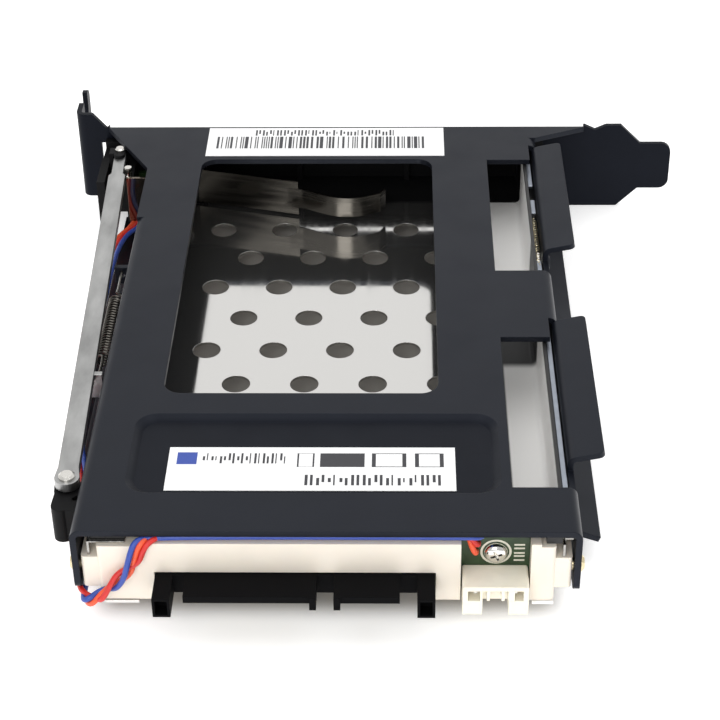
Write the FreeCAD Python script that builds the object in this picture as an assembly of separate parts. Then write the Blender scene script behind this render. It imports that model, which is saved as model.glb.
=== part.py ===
import FreeCAD, Part
import math
import os

# Hot swap drive cage for one 2.5 inch drive, mounted in a PC expansion slot.
# X runs along the slot bracket towards its tongue, Y goes forward through the bracket, Z is up.
# While the pieces are made, x = 0 is the middle of the cover, y = 0 the bracket's front face
# and z = 0 the cover's top face. All are moved together at the end, so that the origin is the
# bottom centre of the box around the whole part. Sizes are in millimetres.

V = FreeCAD.Vector
X_AXIS, Y_AXIS, Z_AXIS = V(1, 0, 0), V(0, 1, 0), V(0, 0, 1)

# ---------------------------------------------------------------- driving dimensions
# the drive that the cage holds
DRIVE_WIDTH = 69.85
DRIVE_LENGTH = 100.2
CONNECTOR_OFFSET = -4.7         # middle of the drive's connector, from the middle of the drive
CONNECTOR_HEIGHT = 3.55         # middle of the drive's connector, above the drive's underside

# clearances
SEAT_GAP = 0.3                  # between pieces that lie against each other
FIT_GAP = 0.05                  # radial, between a pin and its hole
SIDE_PLAY = 0.3                 # between the drive and each wall of the cage

# inner cage, polished sheet
CAGE_GAUGE = 0.5
CAGE_BEND = 1.0
BAY_HEIGHT = 12.4               # cage floor to the underside of the cover
CAGE_FRONT = 8.5                # front edge, behind the bracket's face
HOLE_RADIUS = 2.5
HOLE_PITCH = 12.0
HOLE_ROWS = 6
HOLE_COLUMNS = 5                # in the first row; every second row has one hole less
FIRST_ROW = 19.1                # first row of holes, behind the bracket's face
FLOOR_TABS = ((1.6, 5.2), (1.1, 3.2))  # inset and width of the left and right tab under the block

# cover and slot bracket, one folded sheet
GAUGE = 1.0
BEND = 0.6
CAGE_SPACE = 1.275              # between the cage and the cover's side walls
DRIVE_END_GAP = 0.7             # between the drive and the connector block
LEFT_WALL_DEPTH = 11.5
LEFT_WALL_START = 36.5
RIGHT_WALL_DEPTH = 11.8
CHANNEL_FLANGE = 4.9
CHANNEL_FLANGE_ANGLE = 20.0
LEFT_FLANGE = 3.9
REAR_CORNER = 1.4               # radius of the walls' lower rear corners
WING = 4.9
WING_ANGLE = 12.0
WING_LENGTH = 38.1
WING_STARTS = (9.7, 70.8)
WING_NOTCH = 2.6                # how far the wall is cut down behind each wing
WING_CORNER = 0.95
CUTOUT_LENGTH = 40.2
CUTOUT_LEAD = 5.2               # from the front of a wing to the front of its cut-out
CUTOUT_WIDTH = 9.4
SLIT = 0.6
LEFT_SHOULDER = (9.5, 18.0)     # how far the cover widens at the bracket, and over what length
RIGHT_SHOULDER_LENGTH = 6.0
WINDOW_LEFT_BAND = 10.5         # cover left beside the window
WINDOW_RIGHT_BAND = 20.7
WINDOW_FRONT = 14.6
WINDOW_LENGTH = 77.5
WINDOW_RADIUS = 3.0
RECESS_LEFT_BAND = 7.0
RECESS_RIGHT_BAND = 11.5
RECESS_REAR_BAND = 9.1
RECESS_LENGTH = 20.0
RECESS_DEPTH = 1.0
RECESS_RADIUS = 3.5
RECESS_SLOPE = 1.2

# slot bracket
BRACKET_LENGTH = 120.02
BRACKET_WIDTH = 18.42
TONGUE_WIDTH = 10.19
TONGUE_LENGTH = 6.2
TONGUE_RADIUS = 2.0
FLANGE_SIDE = 16.12             # from the cover's left wall to the flange
NOTCH_HALF = 2.2
NOTCH_DEPTH = 1.0
NOTCH_LAND = 3.0                # between the notch and the bracket's slanted corner
END_RISE = 2.7                  # how far the flange end stands above the cover
END_WIDTH = 4.7
END_DROP = 16.0
FLANGE_DEPTH = 11.43
FLANGE_RADIUS = 2.0
SCREW_NOTCH_WIDTH = 4.4
SCREW_NOTCH_Y = 6.35
SCREW_NOTCH_DEPTH = 5.1
OPENING_SIDE = 0.4              # how far the opening reaches past the cover's right wall
OPENING_TOP = 3.6
OPENING_HEIGHT = 11.6

# connector block and what it holds
BLOCK_SIDE_GAP = 1.025          # between the block and each wall of the cage
BLOCK_TOP = 2.4
BLOCK_END_TOP = 2.9
BLOCK_ENDS = (6.7, 2.2)         # length of the lower top at the left and the right end
BLOCK_LENGTH = 8.2
EAR_TOP = 5.2
EAR_BOTTOM = 11.0
EAR_LENGTH = 5.6
BLOCK_RADIUS = 0.6
BOARD_WINDOW = 10.4
WINDOW_POST = 3.7               # of the block, between the board's window and its right end
BOARD_RECESS = 2.5
BOARD_THICKNESS = 1.6
BOARD_INSET = (4.2, 2.7)        # from the block's ends to the board's
BOARD_SCREW_OFFSET = 5.3        # from the left side of the window
BOARD_SCREW_Z = -5.9
BOARD_STEP = 2.6                # from the left side of the window to the board's higher part
PLUG_WIDTH = 41.9
PLUG_HEIGHT = 3.5
PLUG_REACH = 5.9                # past the rear face of the block
POST_WIDTH = 2.65
POST_WALL = 0.4
POWER_TONGUE = 19.7
SIGNAL_TONGUE = 9.8
TONGUE_THICKNESS = 1.2
KEY_WIDTH = 1.0
KEY_HEIGHT = 2.3
PLUG_GAPS = (1.9, 2.6, 2.0)
RECEPTACLE_REACH = 6.5          # in front of the block, into the drive's connector
RECEPTACLE_HEIGHT = 4.6
CONTACT_PITCH = 1.27
CONTACT_WIDTH = 0.8
CONTACT_THICKNESS = 0.25
POWER_CONTACTS = 15
SIGNAL_CONTACTS = 7
HEADER_SIZE = (9.9, 5.1, 5.4)
HEADER_TOP = 8.5
HEADER_WALL = 0.8
HEADER_MOUTH = 1.9              # height of the slot for the plug
HEADER_LEG_GAP = 3.9            # between the two legs under the slot
HEADER_PINS = 4
HEADER_PITCH = 2.0
HEADER_PIN = 0.5

# screws: head radius, head height, shank radius
BOARD_SCREW = (1.75, 1.3, 1.0)
SIDE_SCREW = (1.35, 0.7, 1.1)
SIDE_SCREW_INSET = 2.7          # from the rear edge
SIDE_SCREW_REACH = 4.6
SIDE_SCREW_Z = -8.2
CAGE_SCREW = (1.6, 0.8, 0.9)
CAGE_SCREW_Y = 42.0
CAGE_SCREW_Z = -6.6

# front frame, door and its spring
FRAME_SIDE = 10.3               # how far the frame reaches past the cover's left wall
FRAME_DEPTH = 8.0
FRAME_PROUD = 0.5
LIP = 1.4
LIP_THICKNESS = 1.5
DOOR_THICKNESS = 3.0
DOOR_SKIN = 1.2
DOOR_RADIUS = 0.8
HINGE_RADIUS = 1.5
HINGE_EAR = 1.4
VENT_WIDTH = 1.6
VENT_PITCH = 3.4
VENT_COUNT = 14
VENT_HEIGHT = 6.4
VENT_DEPTH = 0.8
SPRING_GAUGE = 0.3
SPRING_BAND = 7.4
SPRING_FINGER = 4.2
SPRING_BULGE = 17.6             # rearmost line of the finger, behind the bracket's face
RIVET = (1.1, 0.4, 0.7)

# eject linkage
BUTTON_SIZE = (3.6, 10.6, 8.0)
BUTTON_SIDE = 6.7               # from the cover's left wall to the middle of the button
BUTTON_PROUD = 2.9
BUTTON_CAP = 0.6                # thickness of the button's cap over the bar's nose
BUTTON_CAP_REACH = 1.6          # of the cap, behind the bar's front pin
EJECT_TRAVEL = 2.4
BAR_WIDTH = 3.2
BAR_THICKNESS = 1.5
BAR_TOP = -1.5
BAR_FRONT_SIDE = 6.45           # of the bar's front pin, from the cover's left wall
BAR_FRONT_DISTANCE = 9.1        # of the bar's front pin, behind the bracket's face
BAR_REAR_SIDE = 2.4
BAR_REAR_INSET = 14.7           # of the bar's rivet, from the rear edge
PIN_RADIUS = 0.7
PIN_HEAD = 1.1
STOP_PIN_OFFSET = 0.9           # of the stop pin, outwards from the middle of the button
STOP_PIN_DISTANCE = 4.9
GUIDE_PIN_SIDE = 4.1
GUIDE_PIN_DISTANCE = 16.0
GUIDE_END = 17.8
LEVER_ARM = 3.5                 # from the pivot to the rivet of the bar, across the cage
LEVER_HUB = 1.5
LEVER_TOP = -3.3
LEVER_HEIGHT = 6.2
LEVER_TIP = (6.5, -5.0)         # pushing end, from the pivot
LEVER_TIP_RADIUS = 1.1
LEVER_PAD = 2.1
COIL_SIDE = 1.75                # from the cover's left wall to the middle of the spring
COIL_Z = -5.6
COIL_RADIUS = 1.25
COIL_WIRE = 0.45
COIL_LENGTH = 19.0
HOOK_FRONT = 48.0
HOOK_SPAN = 36.0                # between the two tabs that the spring hooks on
HOOK_REACH = 8.0                # from the front tab's rear side to the coil

# status light and its lead
LED_SIDE = 2.3                  # from the cover's left wall to the middle of the light
LED_RADIUS = 1.2
LED_BOARD = (2.6, 1.0, 6.4)
LEAD_DIAMETER = 0.9

# labels
LABEL_THICKNESS = 0.1
UPPER_LABEL = (46.9, 11.4)
UPPER_LABEL_BAND = 10.9         # cover left of the upper label
UPPER_LABEL_FRONT = 1.9
LOWER_LABEL = (44.6, 10.7)
LOWER_LABEL_INSET = (6.0, 7.7)  # from the recess's left side and front

HEAD_FLAT = 0.72                # flat crown of screw and pin heads, as a share of the head

# ---------------------------------------------------------------- sizes that follow
CAGE_INSIDE = DRIVE_WIDTH / 2 + SIDE_PLAY
CAGE_OUTSIDE = CAGE_INSIDE + CAGE_GAUGE
COVER_HALF = CAGE_OUTSIDE + CAGE_SPACE + GAUGE
COVER_LENGTH = SPRING_BULGE + DRIVE_LENGTH + DRIVE_END_GAP + BLOCK_LENGTH
FLOOR_Z = -(GAUGE + BAY_HEIGHT)
REAR_Y = -COVER_LENGTH
BLOCK_FRONT_Y = REAR_Y + BLOCK_LENGTH
CONNECTOR_Z = FLOOR_Z + CONNECTOR_HEIGHT
BOARD_REAR_Y = REAR_Y + BOARD_RECESS
BOARD_FRONT_Y = BOARD_REAR_Y + BOARD_THICKNESS
CUTOUT_EDGE = COVER_HALF - GAUGE - CUTOUT_WIDTH + 0.4
WINDOW_X = (WINDOW_LEFT_BAND - COVER_HALF, COVER_HALF - WINDOW_RIGHT_BAND)
WINDOW_Y = (WINDOW_FRONT, WINDOW_FRONT + WINDOW_LENGTH)
RECESS_X = (RECESS_LEFT_BAND - COVER_HALF, COVER_HALF - RECESS_RIGHT_BAND)
RECESS_Y = (COVER_LENGTH - RECESS_REAR_BAND - RECESS_LENGTH, COVER_LENGTH - RECESS_REAR_BAND)
FLANGE_X = -COVER_HALF - FLANGE_SIDE
TONGUE_END = FLANGE_X + BRACKET_LENGTH
TONGUE_CORNER = (BRACKET_WIDTH - TONGUE_WIDTH) / 2
NOTCH_X = TONGUE_END - TONGUE_LENGTH - TONGUE_CORNER - NOTCH_LAND - NOTCH_HALF
BRACKET_MIDDLE = -BRACKET_WIDTH / 2
OPENING_RIGHT = COVER_HALF + OPENING_SIDE
FRAME_TOP = -(OPENING_TOP + SEAT_GAP)
FRAME_BOTTOM = -(OPENING_TOP + OPENING_HEIGHT - SEAT_GAP)
FRAME_RIGHT = OPENING_RIGHT - SEAT_GAP
FRAME_LEFT = COVER_HALF + FRAME_SIDE
HINGE_X = -COVER_HALF + 0.4
BUTTON_X = -COVER_HALF - BUTTON_SIDE
STOP_PIN_X = BUTTON_X - STOP_PIN_OFFSET
GUIDE_PIN_X = -COVER_HALF - GUIDE_PIN_SIDE
LED_X = -COVER_HALF - LED_SIDE
COIL_X = -COVER_HALF - COIL_SIDE
HOOK_REAR = HOOK_FRONT + HOOK_SPAN
COIL_FRONT = HOOK_FRONT + HOOK_REACH
COIL_REAR = COIL_FRONT + COIL_LENGTH
BAR_FRONT = (-COVER_HALF - BAR_FRONT_SIDE, BAR_FRONT_DISTANCE)
BAR_REAR = (-COVER_HALF - BAR_REAR_SIDE, COVER_LENGTH - BAR_REAR_INSET)
SIDE_SCREW_Y = COVER_LENGTH - SIDE_SCREW_INSET
PIVOT_X = BAR_REAR[0] + LEVER_ARM
PIVOT_Y = -BAR_REAR[1] - EJECT_TRAVEL / 2
BAR_BOTTOM = BAR_TOP - BAR_THICKNESS


# ---------------------------------------------------------------- helpers
def box(x_range, y_range, z_range):
    """Box between two x, two y and two z values, in any order."""
    lows = [min(pair) for pair in (x_range, y_range, z_range)]
    sizes = [abs(pair[1] - pair[0]) for pair in (x_range, y_range, z_range)]
    return Part.makeBox(sizes[0], sizes[1], sizes[2], V(lows[0], lows[1], lows[2]))


def rod(start, axis, radius, length):
    """Cylinder from a point along an axis."""
    return Part.makeCylinder(radius, length, start, axis)


def prism(points, direction):
    """Solid from a closed outline of vectors, pushed along a direction."""
    return Part.Face(Part.makePolygon(points + points[:1])).extrude(direction)


def rounded_rectangle(x_range, y_range, z, radius):
    """Wire of a level rectangle with round corners."""
    (x0, x1), (y0, y1) = sorted(x_range), sorted(y_range)
    corners = [(x1 - radius, y1 - radius, 0), (x0 + radius, y1 - radius, 90),
               (x0 + radius, y0 + radius, 180), (x1 - radius, y0 + radius, 270)]
    arcs = []
    for x, y, start in corners:
        circle = Part.Circle(V(x, y, z), Z_AXIS, radius)
        arcs.append(Part.ArcOfCircle(circle, math.radians(start), math.radians(start + 90)))
    edges = []
    for index, arc in enumerate(arcs):
        following = arcs[(index + 1) % len(arcs)]
        edges.append(arc.toShape())
        edges.append(Part.LineSegment(arc.EndPoint, following.StartPoint).toShape())
    return Part.Wire(edges)


def rounded_slab(x_range, y_range, z_range, radius):
    """Plate with round vertical corners."""
    low, high = sorted(z_range)
    face = Part.Face(rounded_rectangle(x_range, y_range, low, radius))
    return face.extrude(V(0, 0, high - low))


def folded_sheet(path, gauge, bend, plane, sweep):
    """Sheet folded along a path of (u, v) points and swept in one direction.

    The path is one skin of the sheet. The sheet lies to the right of it, as it is walked.
    bend is the inner radius of every fold, or one radius for each, and plane turns a (u, v)
    point into a vector.
    """
    points = [V(u, v, 0) for u, v in path]
    bends = [bend] * len(points) if isinstance(bend, float) else bend
    near_side, far_side = [], []
    start = points[0]
    far_start = None
    for index in range(1, len(points)):
        heading = (points[index] - points[index - 1]).normalize()
        right = V(heading.y, -heading.x, 0)
        if far_start is None:
            far_start = start + right * gauge
        if index == len(points) - 1:
            near_side.append(Part.LineSegment(plane(start), plane(points[index])))
            far_side.append(Part.LineSegment(plane(far_start), plane(points[index] + right * gauge)))
            break
        turned = (points[index + 1] - points[index]).normalize()
        side = heading.x * turned.y - heading.y * turned.x
        inner = bends[index - 1]
        near_radius = inner if side > 0 else inner + gauge
        far_radius = inner + gauge if side > 0 else inner
        half_turn = math.acos(max(-1.0, min(1.0, heading.dot(turned)))) / 2
        reach = near_radius * math.tan(half_turn)
        into, out = points[index] - heading * reach, points[index] + turned * reach
        next_right = V(turned.y, -turned.x, 0)
        centre = into + right * (near_radius if side < 0 else -near_radius)
        outward = (points[index] - centre).normalize()
        far_into, far_out = into + right * gauge, out + next_right * gauge
        near_side.append(Part.LineSegment(plane(start), plane(into)))
        near_side.append(Part.Arc(plane(into), plane(centre + outward * near_radius), plane(out)))
        far_side.append(Part.LineSegment(plane(far_start), plane(far_into)))
        far_side.append(Part.Arc(plane(far_into), plane(centre + outward * far_radius), plane(far_out)))
        start, far_start = out, far_out
    ends = [Part.LineSegment(near_side[0].StartPoint, far_side[0].StartPoint),
            Part.LineSegment(near_side[-1].EndPoint, far_side[-1].EndPoint)]
    edges = [curve.toShape() for curve in near_side + far_side + ends]
    outline = Part.Wire(Part.__sortEdges__(edges))
    return Part.Face(outline).extrude(sweep)


def across(y):
    """Plane of a section that is swept along Y: u is x and v is z."""
    return lambda point: V(point.x, y, point.y)


def edges_at(shape, wanted):
    """Edges whose middle point satisfies a test."""
    return [edge for edge in shape.Edges if wanted(edge.CenterOfMass)]


def close_to(value, target, tolerance=0.01):
    return abs(value - target) < tolerance


def turned(profile):
    """Solid of revolution round the Z axis, from (radius, height) points that start and end on the axis."""
    points = [V(radius, 0, height) for radius, height in profile]
    return Part.Face(Part.makePolygon(points + points[:1])).revolve(V(0, 0, 0), Z_AXIS, 360)


def pan_screw(tip, direction, sizes, reach):
    """Screw with a chamfered head; the seat of its head is at tip, its shank runs along direction."""
    head_radius, head_height, shank_radius = sizes
    screw = turned([(0, -head_height), (head_radius * HEAD_FLAT, -head_height), (head_radius, -head_height * 0.4),
                    (head_radius, 0), (shank_radius, 0), (shank_radius, reach), (0, reach)])
    screw.Placement = FreeCAD.Placement(tip, FreeCAD.Rotation(Z_AXIS, direction))
    return screw


def headed_pin(x, y, bottom, seat, radius, head_radius, head_height):
    """Upright pin with a chamfered head that stands on the seat height."""
    pin = turned([(0, bottom), (radius, bottom), (radius, seat), (head_radius, seat),
                  (head_radius, seat + head_height * 0.5), (head_radius * HEAD_FLAT, seat + head_height),
                  (0, seat + head_height)])
    pin.translate(V(x, y, 0))
    return pin


def link(start, end, radius, z_range):
    """Slab with round ends between two (x, y) points."""
    low, high = sorted(z_range)
    first, second = V(start[0], start[1], low), V(end[0], end[1], low)
    along = (second - first).normalize()
    side = V(-along.y, along.x, 0) * radius
    edges = [Part.LineSegment(first + side, second + side),
             Part.Arc(second + side, second + along * radius, second - side),
             Part.LineSegment(second - side, first - side),
             Part.Arc(first - side, first - along * radius, first + side)]
    return Part.Face(Part.Wire([edge.toShape() for edge in edges])).extrude(V(0, 0, high - low))


def strand_along(points, diameter):
    """Six-sided strand of straight runs joined by arcs, each as large as its two runs allow."""
    edges = []
    start = points[0]
    length, radii = 0.0, []
    for before, corner, after in zip(points, points[1:], points[2:]):
        into, out = (corner - before), (after - corner)
        shorter = min(into.Length, out.Length)
        into.normalize()
        out.normalize()
        half_turn = math.acos(max(-1.0, min(1.0, into.dot(out)))) / 2
        reach = 0.45 * shorter
        radius = reach / math.tan(half_turn)
        radii.append(radius)
        first, last = corner - into * reach, corner + out * reach
        inward = (out - into).normalize()
        middle = corner + inward * (radius / math.cos(half_turn) - radius)
        edges.append(Part.LineSegment(start, first).toShape())
        edges.append(Part.Arc(first, middle, last).toShape())
        length += (first - start).Length + radius * 2 * half_turn
        start = last
    edges.append(Part.LineSegment(start, points[-1]).toShape())
    length += (points[-1] - start).Length
    path = Part.Wire(edges)
    heading = (points[1] - points[0]).normalize()
    across_strand = heading.cross(Z_AXIS).normalize() * (diameter / 2)
    turn = FreeCAD.Rotation(heading, 60)
    corners = [across_strand]
    for _ in range(5):
        corners.append(turn.multVec(corners[-1]))
    section = Part.makePolygon([points[0] + corner for corner in corners + corners[:1]])
    strand = path.makePipeShell([section], True, False)
    expected = 1.5 * math.sqrt(3) * (diameter / 2) ** 2 * length
    print("lead: length %.1f, volume %.1f of %.1f, smallest radius %.1f, radii %s"
          % (length, strand.Volume, expected, min(radii), [round(radius, 1) for radius in radii]))
    return strand


# ---------------------------------------------------------------- cover and slot bracket
FOLD_LEG = 4.0                  # flat beside each fold that is made with it
FLANGE_LEG = END_WIDTH - 1.4
COVER_LEFT = -COVER_HALF - LEFT_SHOULDER[0]
COVER_RIGHT = NOTCH_X - NOTCH_HALF - 0.2
FRONT_FOLD = GAUGE + BEND
CHANNEL_FLANGE_END = -PIVOT_Y - 1.2
LEFT_FLANGE_END = -PIVOT_Y - 12.0
LEVER_SLOT_Y = (-PIVOT_Y - 6.2, -PIVOT_Y + 7.4)
LEVER_SLOT_Z = (LEVER_TOP + 1.5, LEVER_TOP - LEVER_HEIGHT - 1.1)
HOOK_TAB = (3.1, 1.0, 3.4)
HOOK_OVER = 0.05                # between a hook's end and the tab it holds
HOOK_RISE = 1.0


def cover_top():
    """Flat top of the cover, without the strips that the folds take."""
    right_run = ((COVER_RIGHT - COVER_HALF) * (FOLD_LEG - FRONT_FOLD)
                 / (RIGHT_SHOULDER_LENGTH - FRONT_FOLD))
    left_run = (LEFT_SHOULDER[0] * (FOLD_LEG - FRONT_FOLD)
                / (LEFT_SHOULDER[1] - FRONT_FOLD))
    outline = [V(COVER_LEFT + left_run, -FOLD_LEG, -GAUGE), V(COVER_RIGHT - right_run, -FOLD_LEG, -GAUGE),
               V(COVER_HALF, -RIGHT_SHOULDER_LENGTH, -GAUGE), V(COVER_HALF, REAR_Y, -GAUGE),
               V(-COVER_HALF, REAR_Y, -GAUGE), V(-COVER_HALF, -LEFT_SHOULDER[1], -GAUGE)]
    top = prism(outline, V(0, 0, GAUGE))
    high = (-GAUGE - 1, 1)
    strips = [box((-COVER_HALF - 1, -COVER_HALF + FOLD_LEG), (-LEFT_WALL_START, REAR_Y - 1), high),
              box((COVER_HALF - FOLD_LEG, COVER_HALF + 1), (-RIGHT_SHOULDER_LENGTH, REAR_Y - 1), high)]
    for strip in strips:
        top = top.cut(strip)
    return top


def front_fold():
    """Fold between the cover and the bracket, narrowed along the shoulders."""
    fold = folded_sheet([(-FOLD_LEG, 0), (0, 0), (0, -FOLD_LEG)], GAUGE, BEND,
                        lambda point: V(COVER_LEFT, point.x, point.y), V(COVER_RIGHT - COVER_LEFT, 0, 0))
    tall = 2 * FOLD_LEG
    clip = [V(COVER_LEFT, FOLD_LEG, -tall), V(COVER_RIGHT, FOLD_LEG, -tall), V(COVER_RIGHT, -FRONT_FOLD, -tall),
            V(COVER_HALF, -RIGHT_SHOULDER_LENGTH, -tall), V(-COVER_HALF, -LEFT_SHOULDER[1], -tall),
            V(COVER_LEFT, -FRONT_FOLD, -tall)]
    return fold.common(prism(clip, V(0, 0, 2 * tall)))


def rear_rounded(wall, depth):
    """Wall with its lower rear corner rounded."""
    return wall.makeFillet(REAR_CORNER, edges_at(wall, lambda middle: close_to(middle.y, REAR_Y)
                                                 and close_to(middle.z, -depth)))


def flange_foot(side, width, depth):
    """(x, z) of the outer edge of a sloping bottom flange."""
    slope = math.radians(CHANNEL_FLANGE_ANGLE)
    return side * (COVER_HALF + width * math.cos(slope)), -depth - width * math.sin(slope)


def right_side():
    """Channel shaped right wall: bottom flange, two wings bent out at the top, and the folds between them."""
    foot = flange_foot(1, CHANNEL_FLANGE, RIGHT_WALL_DEPTH)
    front = -RIGHT_SHOULDER_LENGTH
    sides = [folded_sheet([(COVER_HALF, -WING_NOTCH), (COVER_HALF, -RIGHT_WALL_DEPTH), foot], GAUGE, BEND,
                          across(-CHANNEL_FLANGE_END), V(0, CHANNEL_FLANGE_END + front, 0)),
             rear_rounded(box((COVER_HALF - GAUGE, COVER_HALF), (REAR_Y, -CHANNEL_FLANGE_END),
                              (-RIGHT_WALL_DEPTH, -WING_NOTCH)), RIGHT_WALL_DEPTH)]
    rise = math.radians(WING_ANGLE)
    tip = (COVER_HALF + WING * math.cos(rise), -GAUGE + WING * math.sin(rise))
    joined_from = front
    for start in WING_STARTS:
        sides.append(folded_sheet([(COVER_HALF - FOLD_LEG, 0), (COVER_HALF, 0), (COVER_HALF, -WING_NOTCH)],
                                  GAUGE, BEND, across(-start + SLIT), V(0, joined_from + start - SLIT, 0)))
        wing = folded_sheet([tip, (COVER_HALF, -GAUGE), (COVER_HALF, -WING_NOTCH)], GAUGE, BEND,
                            across(-start - WING_LENGTH), V(0, WING_LENGTH, 0))
        corners = edges_at(wing, lambda middle: middle.x > tip[0] - 0.5 and
                           (close_to(middle.y, -start) or close_to(middle.y, -start - WING_LENGTH)))
        sides.append(wing.makeFillet(WING_CORNER, corners))
        sides.append(box((COVER_HALF - FOLD_LEG, COVER_HALF - GAUGE - SLIT),
                         (-start + SLIT, -start - CUTOUT_LEAD), (-GAUGE, 0)))
        joined_from = -start - CUTOUT_LEAD - CUTOUT_LENGTH
    sides.append(folded_sheet([(COVER_HALF - FOLD_LEG, 0), (COVER_HALF, 0), (COVER_HALF, -WING_NOTCH)],
                              GAUGE, BEND, across(REAR_Y), V(0, joined_from - REAR_Y, 0)))
    return sides


def left_side():
    """Left wall with its fold, the bottom flange of its channel and the tab that the return spring hooks on."""
    foot = flange_foot(-1, LEFT_FLANGE, LEFT_WALL_DEPTH)
    fold = folded_sheet([(-COVER_HALF, -WING_NOTCH), (-COVER_HALF, 0), (-COVER_HALF + FOLD_LEG, 0)],
                        GAUGE, BEND, across(REAR_Y), V(0, COVER_LENGTH - LEFT_WALL_START, 0))
    channel = folded_sheet([foot, (-COVER_HALF, -LEFT_WALL_DEPTH), (-COVER_HALF, -WING_NOTCH)], GAUGE, BEND,
                           across(-LEFT_FLANGE_END), V(0, LEFT_FLANGE_END - LEFT_WALL_START, 0))
    rear = rear_rounded(box((-COVER_HALF, -COVER_HALF + GAUGE), (REAR_Y, -LEFT_FLANGE_END),
                            (-LEFT_WALL_DEPTH, -WING_NOTCH)), LEFT_WALL_DEPTH)
    reach, thick, tall = HOOK_TAB
    tab = box((-COVER_HALF - reach, -COVER_HALF), (-HOOK_FRONT, -HOOK_FRONT + thick),
              (COIL_Z - tall / 2, COIL_Z + tall / 2))
    return [fold, channel, rear, tab]


def bracket_plate():
    """Flat slot bracket with its tongue, the raised end and the folded flange."""
    chamfer = TONGUE_CORNER
    root = TONGUE_END - TONGUE_LENGTH
    slant = BRACKET_WIDTH - END_DROP
    end_right = FLANGE_X + END_WIDTH
    outline = [(COVER_RIGHT, 0), (NOTCH_X - NOTCH_HALF + 0.1, 0), (NOTCH_X, -NOTCH_DEPTH), (NOTCH_X + NOTCH_HALF, 0),
               (root - chamfer, 0), (root, -chamfer), (TONGUE_END, -chamfer),
               (TONGUE_END, chamfer - BRACKET_WIDTH), (root, chamfer - BRACKET_WIDTH),
               (root - chamfer, -BRACKET_WIDTH), (end_right + slant - 0.3, -BRACKET_WIDTH),
               (end_right - 0.3, -END_DROP), (FLANGE_X + FLANGE_LEG, -END_DROP),
               (FLANGE_X + FLANGE_LEG, END_RISE), (COVER_LEFT - 0.6, -0.5), (COVER_LEFT, 0),
               (COVER_LEFT, -FOLD_LEG), (COVER_RIGHT, -FOLD_LEG)]
    plate = prism([V(x, -GAUGE, z) for x, z in outline], V(0, GAUGE, 0))
    plate = plate.makeFillet(TONGUE_RADIUS, edges_at(plate, lambda middle: close_to(middle.x, TONGUE_END)
                                                     and close_to(middle.y, -GAUGE / 2)))
    flange = folded_sheet([(FLANGE_X + FLANGE_LEG, -GAUGE), (FLANGE_X, -GAUGE), (FLANGE_X, FLANGE_DEPTH)],
                          GAUGE, BEND, lambda point: V(point.x, point.y, -END_DROP),
                          V(0, 0, END_DROP + END_RISE))
    flange = flange.makeFillet(FLANGE_RADIUS, edges_at(
        flange, lambda middle: close_to(middle.y, FLANGE_DEPTH) and close_to(middle.x, FLANGE_X + GAUGE / 2)
        and not close_to(middle.z, (END_RISE - END_DROP) / 2)))
    half = SCREW_NOTCH_WIDTH / 2
    floor = END_RISE - SCREW_NOTCH_DEPTH + half
    around = (FLANGE_X - 1, FLANGE_X + GAUGE + 1)
    flange = flange.cut(box(around, (SCREW_NOTCH_Y - half, SCREW_NOTCH_Y + half), (floor, END_RISE + 1)))
    flange = flange.cut(rod(V(around[0], SCREW_NOTCH_Y, floor), X_AXIS, half, around[1] - around[0]))
    return [plate, flange]


def sunk(x_range, y_range, top, depth, grow):
    """Tapered solid of the recess, from its rim down to its floor."""
    rim = [(x_range[0] - grow, x_range[1] + grow), (-y_range[1] - grow, -y_range[0] + grow)]
    inset = RECESS_SLOPE
    floor = [(rim[0][0] + inset, rim[0][1] - inset), (rim[1][0] + inset, rim[1][1] - inset)]
    wires = [rounded_rectangle(rim[0], rim[1], top, RECESS_RADIUS),
             rounded_rectangle(floor[0], floor[1], top - depth, RECESS_RADIUS - inset * 0.5)]
    return Part.makeLoft(wires, True, True)


def mounting_frame():
    """Cover and slot bracket, cut and folded from one sheet."""
    frame = cover_top()
    frame = frame.multiFuse([front_fold()] + right_side() + left_side() + bracket_plate())
    frame = frame.fuse(sunk(RECESS_X, RECESS_Y, -GAUGE, RECESS_DEPTH, 0.3))
    frame = frame.cut(sunk(RECESS_X, RECESS_Y, 0, RECESS_DEPTH, 0))
    frame = frame.cut(rounded_slab(WINDOW_X, (-WINDOW_Y[1], -WINDOW_Y[0]), (-GAUGE - 1, 1), WINDOW_RADIUS))
    for start in WING_STARTS:
        cut_front = -start - CUTOUT_LEAD
        frame = frame.cut(box((CUTOUT_EDGE, COVER_HALF - GAUGE - SLIT / 2), (cut_front, cut_front - CUTOUT_LENGTH),
                              (-GAUGE - 0.5, 1)))
    frame = frame.cut(box((FLANGE_X + END_WIDTH, OPENING_RIGHT), (-GAUGE - 1, 1),
                          (-OPENING_TOP, -OPENING_TOP - OPENING_HEIGHT)))
    frame = frame.cut(box((-COVER_HALF - 1, -COVER_HALF + GAUGE + 0.2), (-LEVER_SLOT_Y[0], -LEVER_SLOT_Y[1]),
                          LEVER_SLOT_Z))
    for side in (-1, 1):
        outside = side * (COVER_HALF + 1)
        for y, z, screw in ((SIDE_SCREW_Y, SIDE_SCREW_Z, SIDE_SCREW), (CAGE_SCREW_Y, CAGE_SCREW_Z, CAGE_SCREW)):
            frame = frame.cut(rod(V(outside, -y, z), X_AXIS * -side, screw[2] + FIT_GAP, GAUGE + 1.5))
    frame = frame.cut(rod(V(COIL_X, -HOOK_FRONT - 1, COIL_Z), Y_AXIS, COIL_WIRE, HOOK_TAB[1] + 2))
    return frame.removeSplitter()


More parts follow.
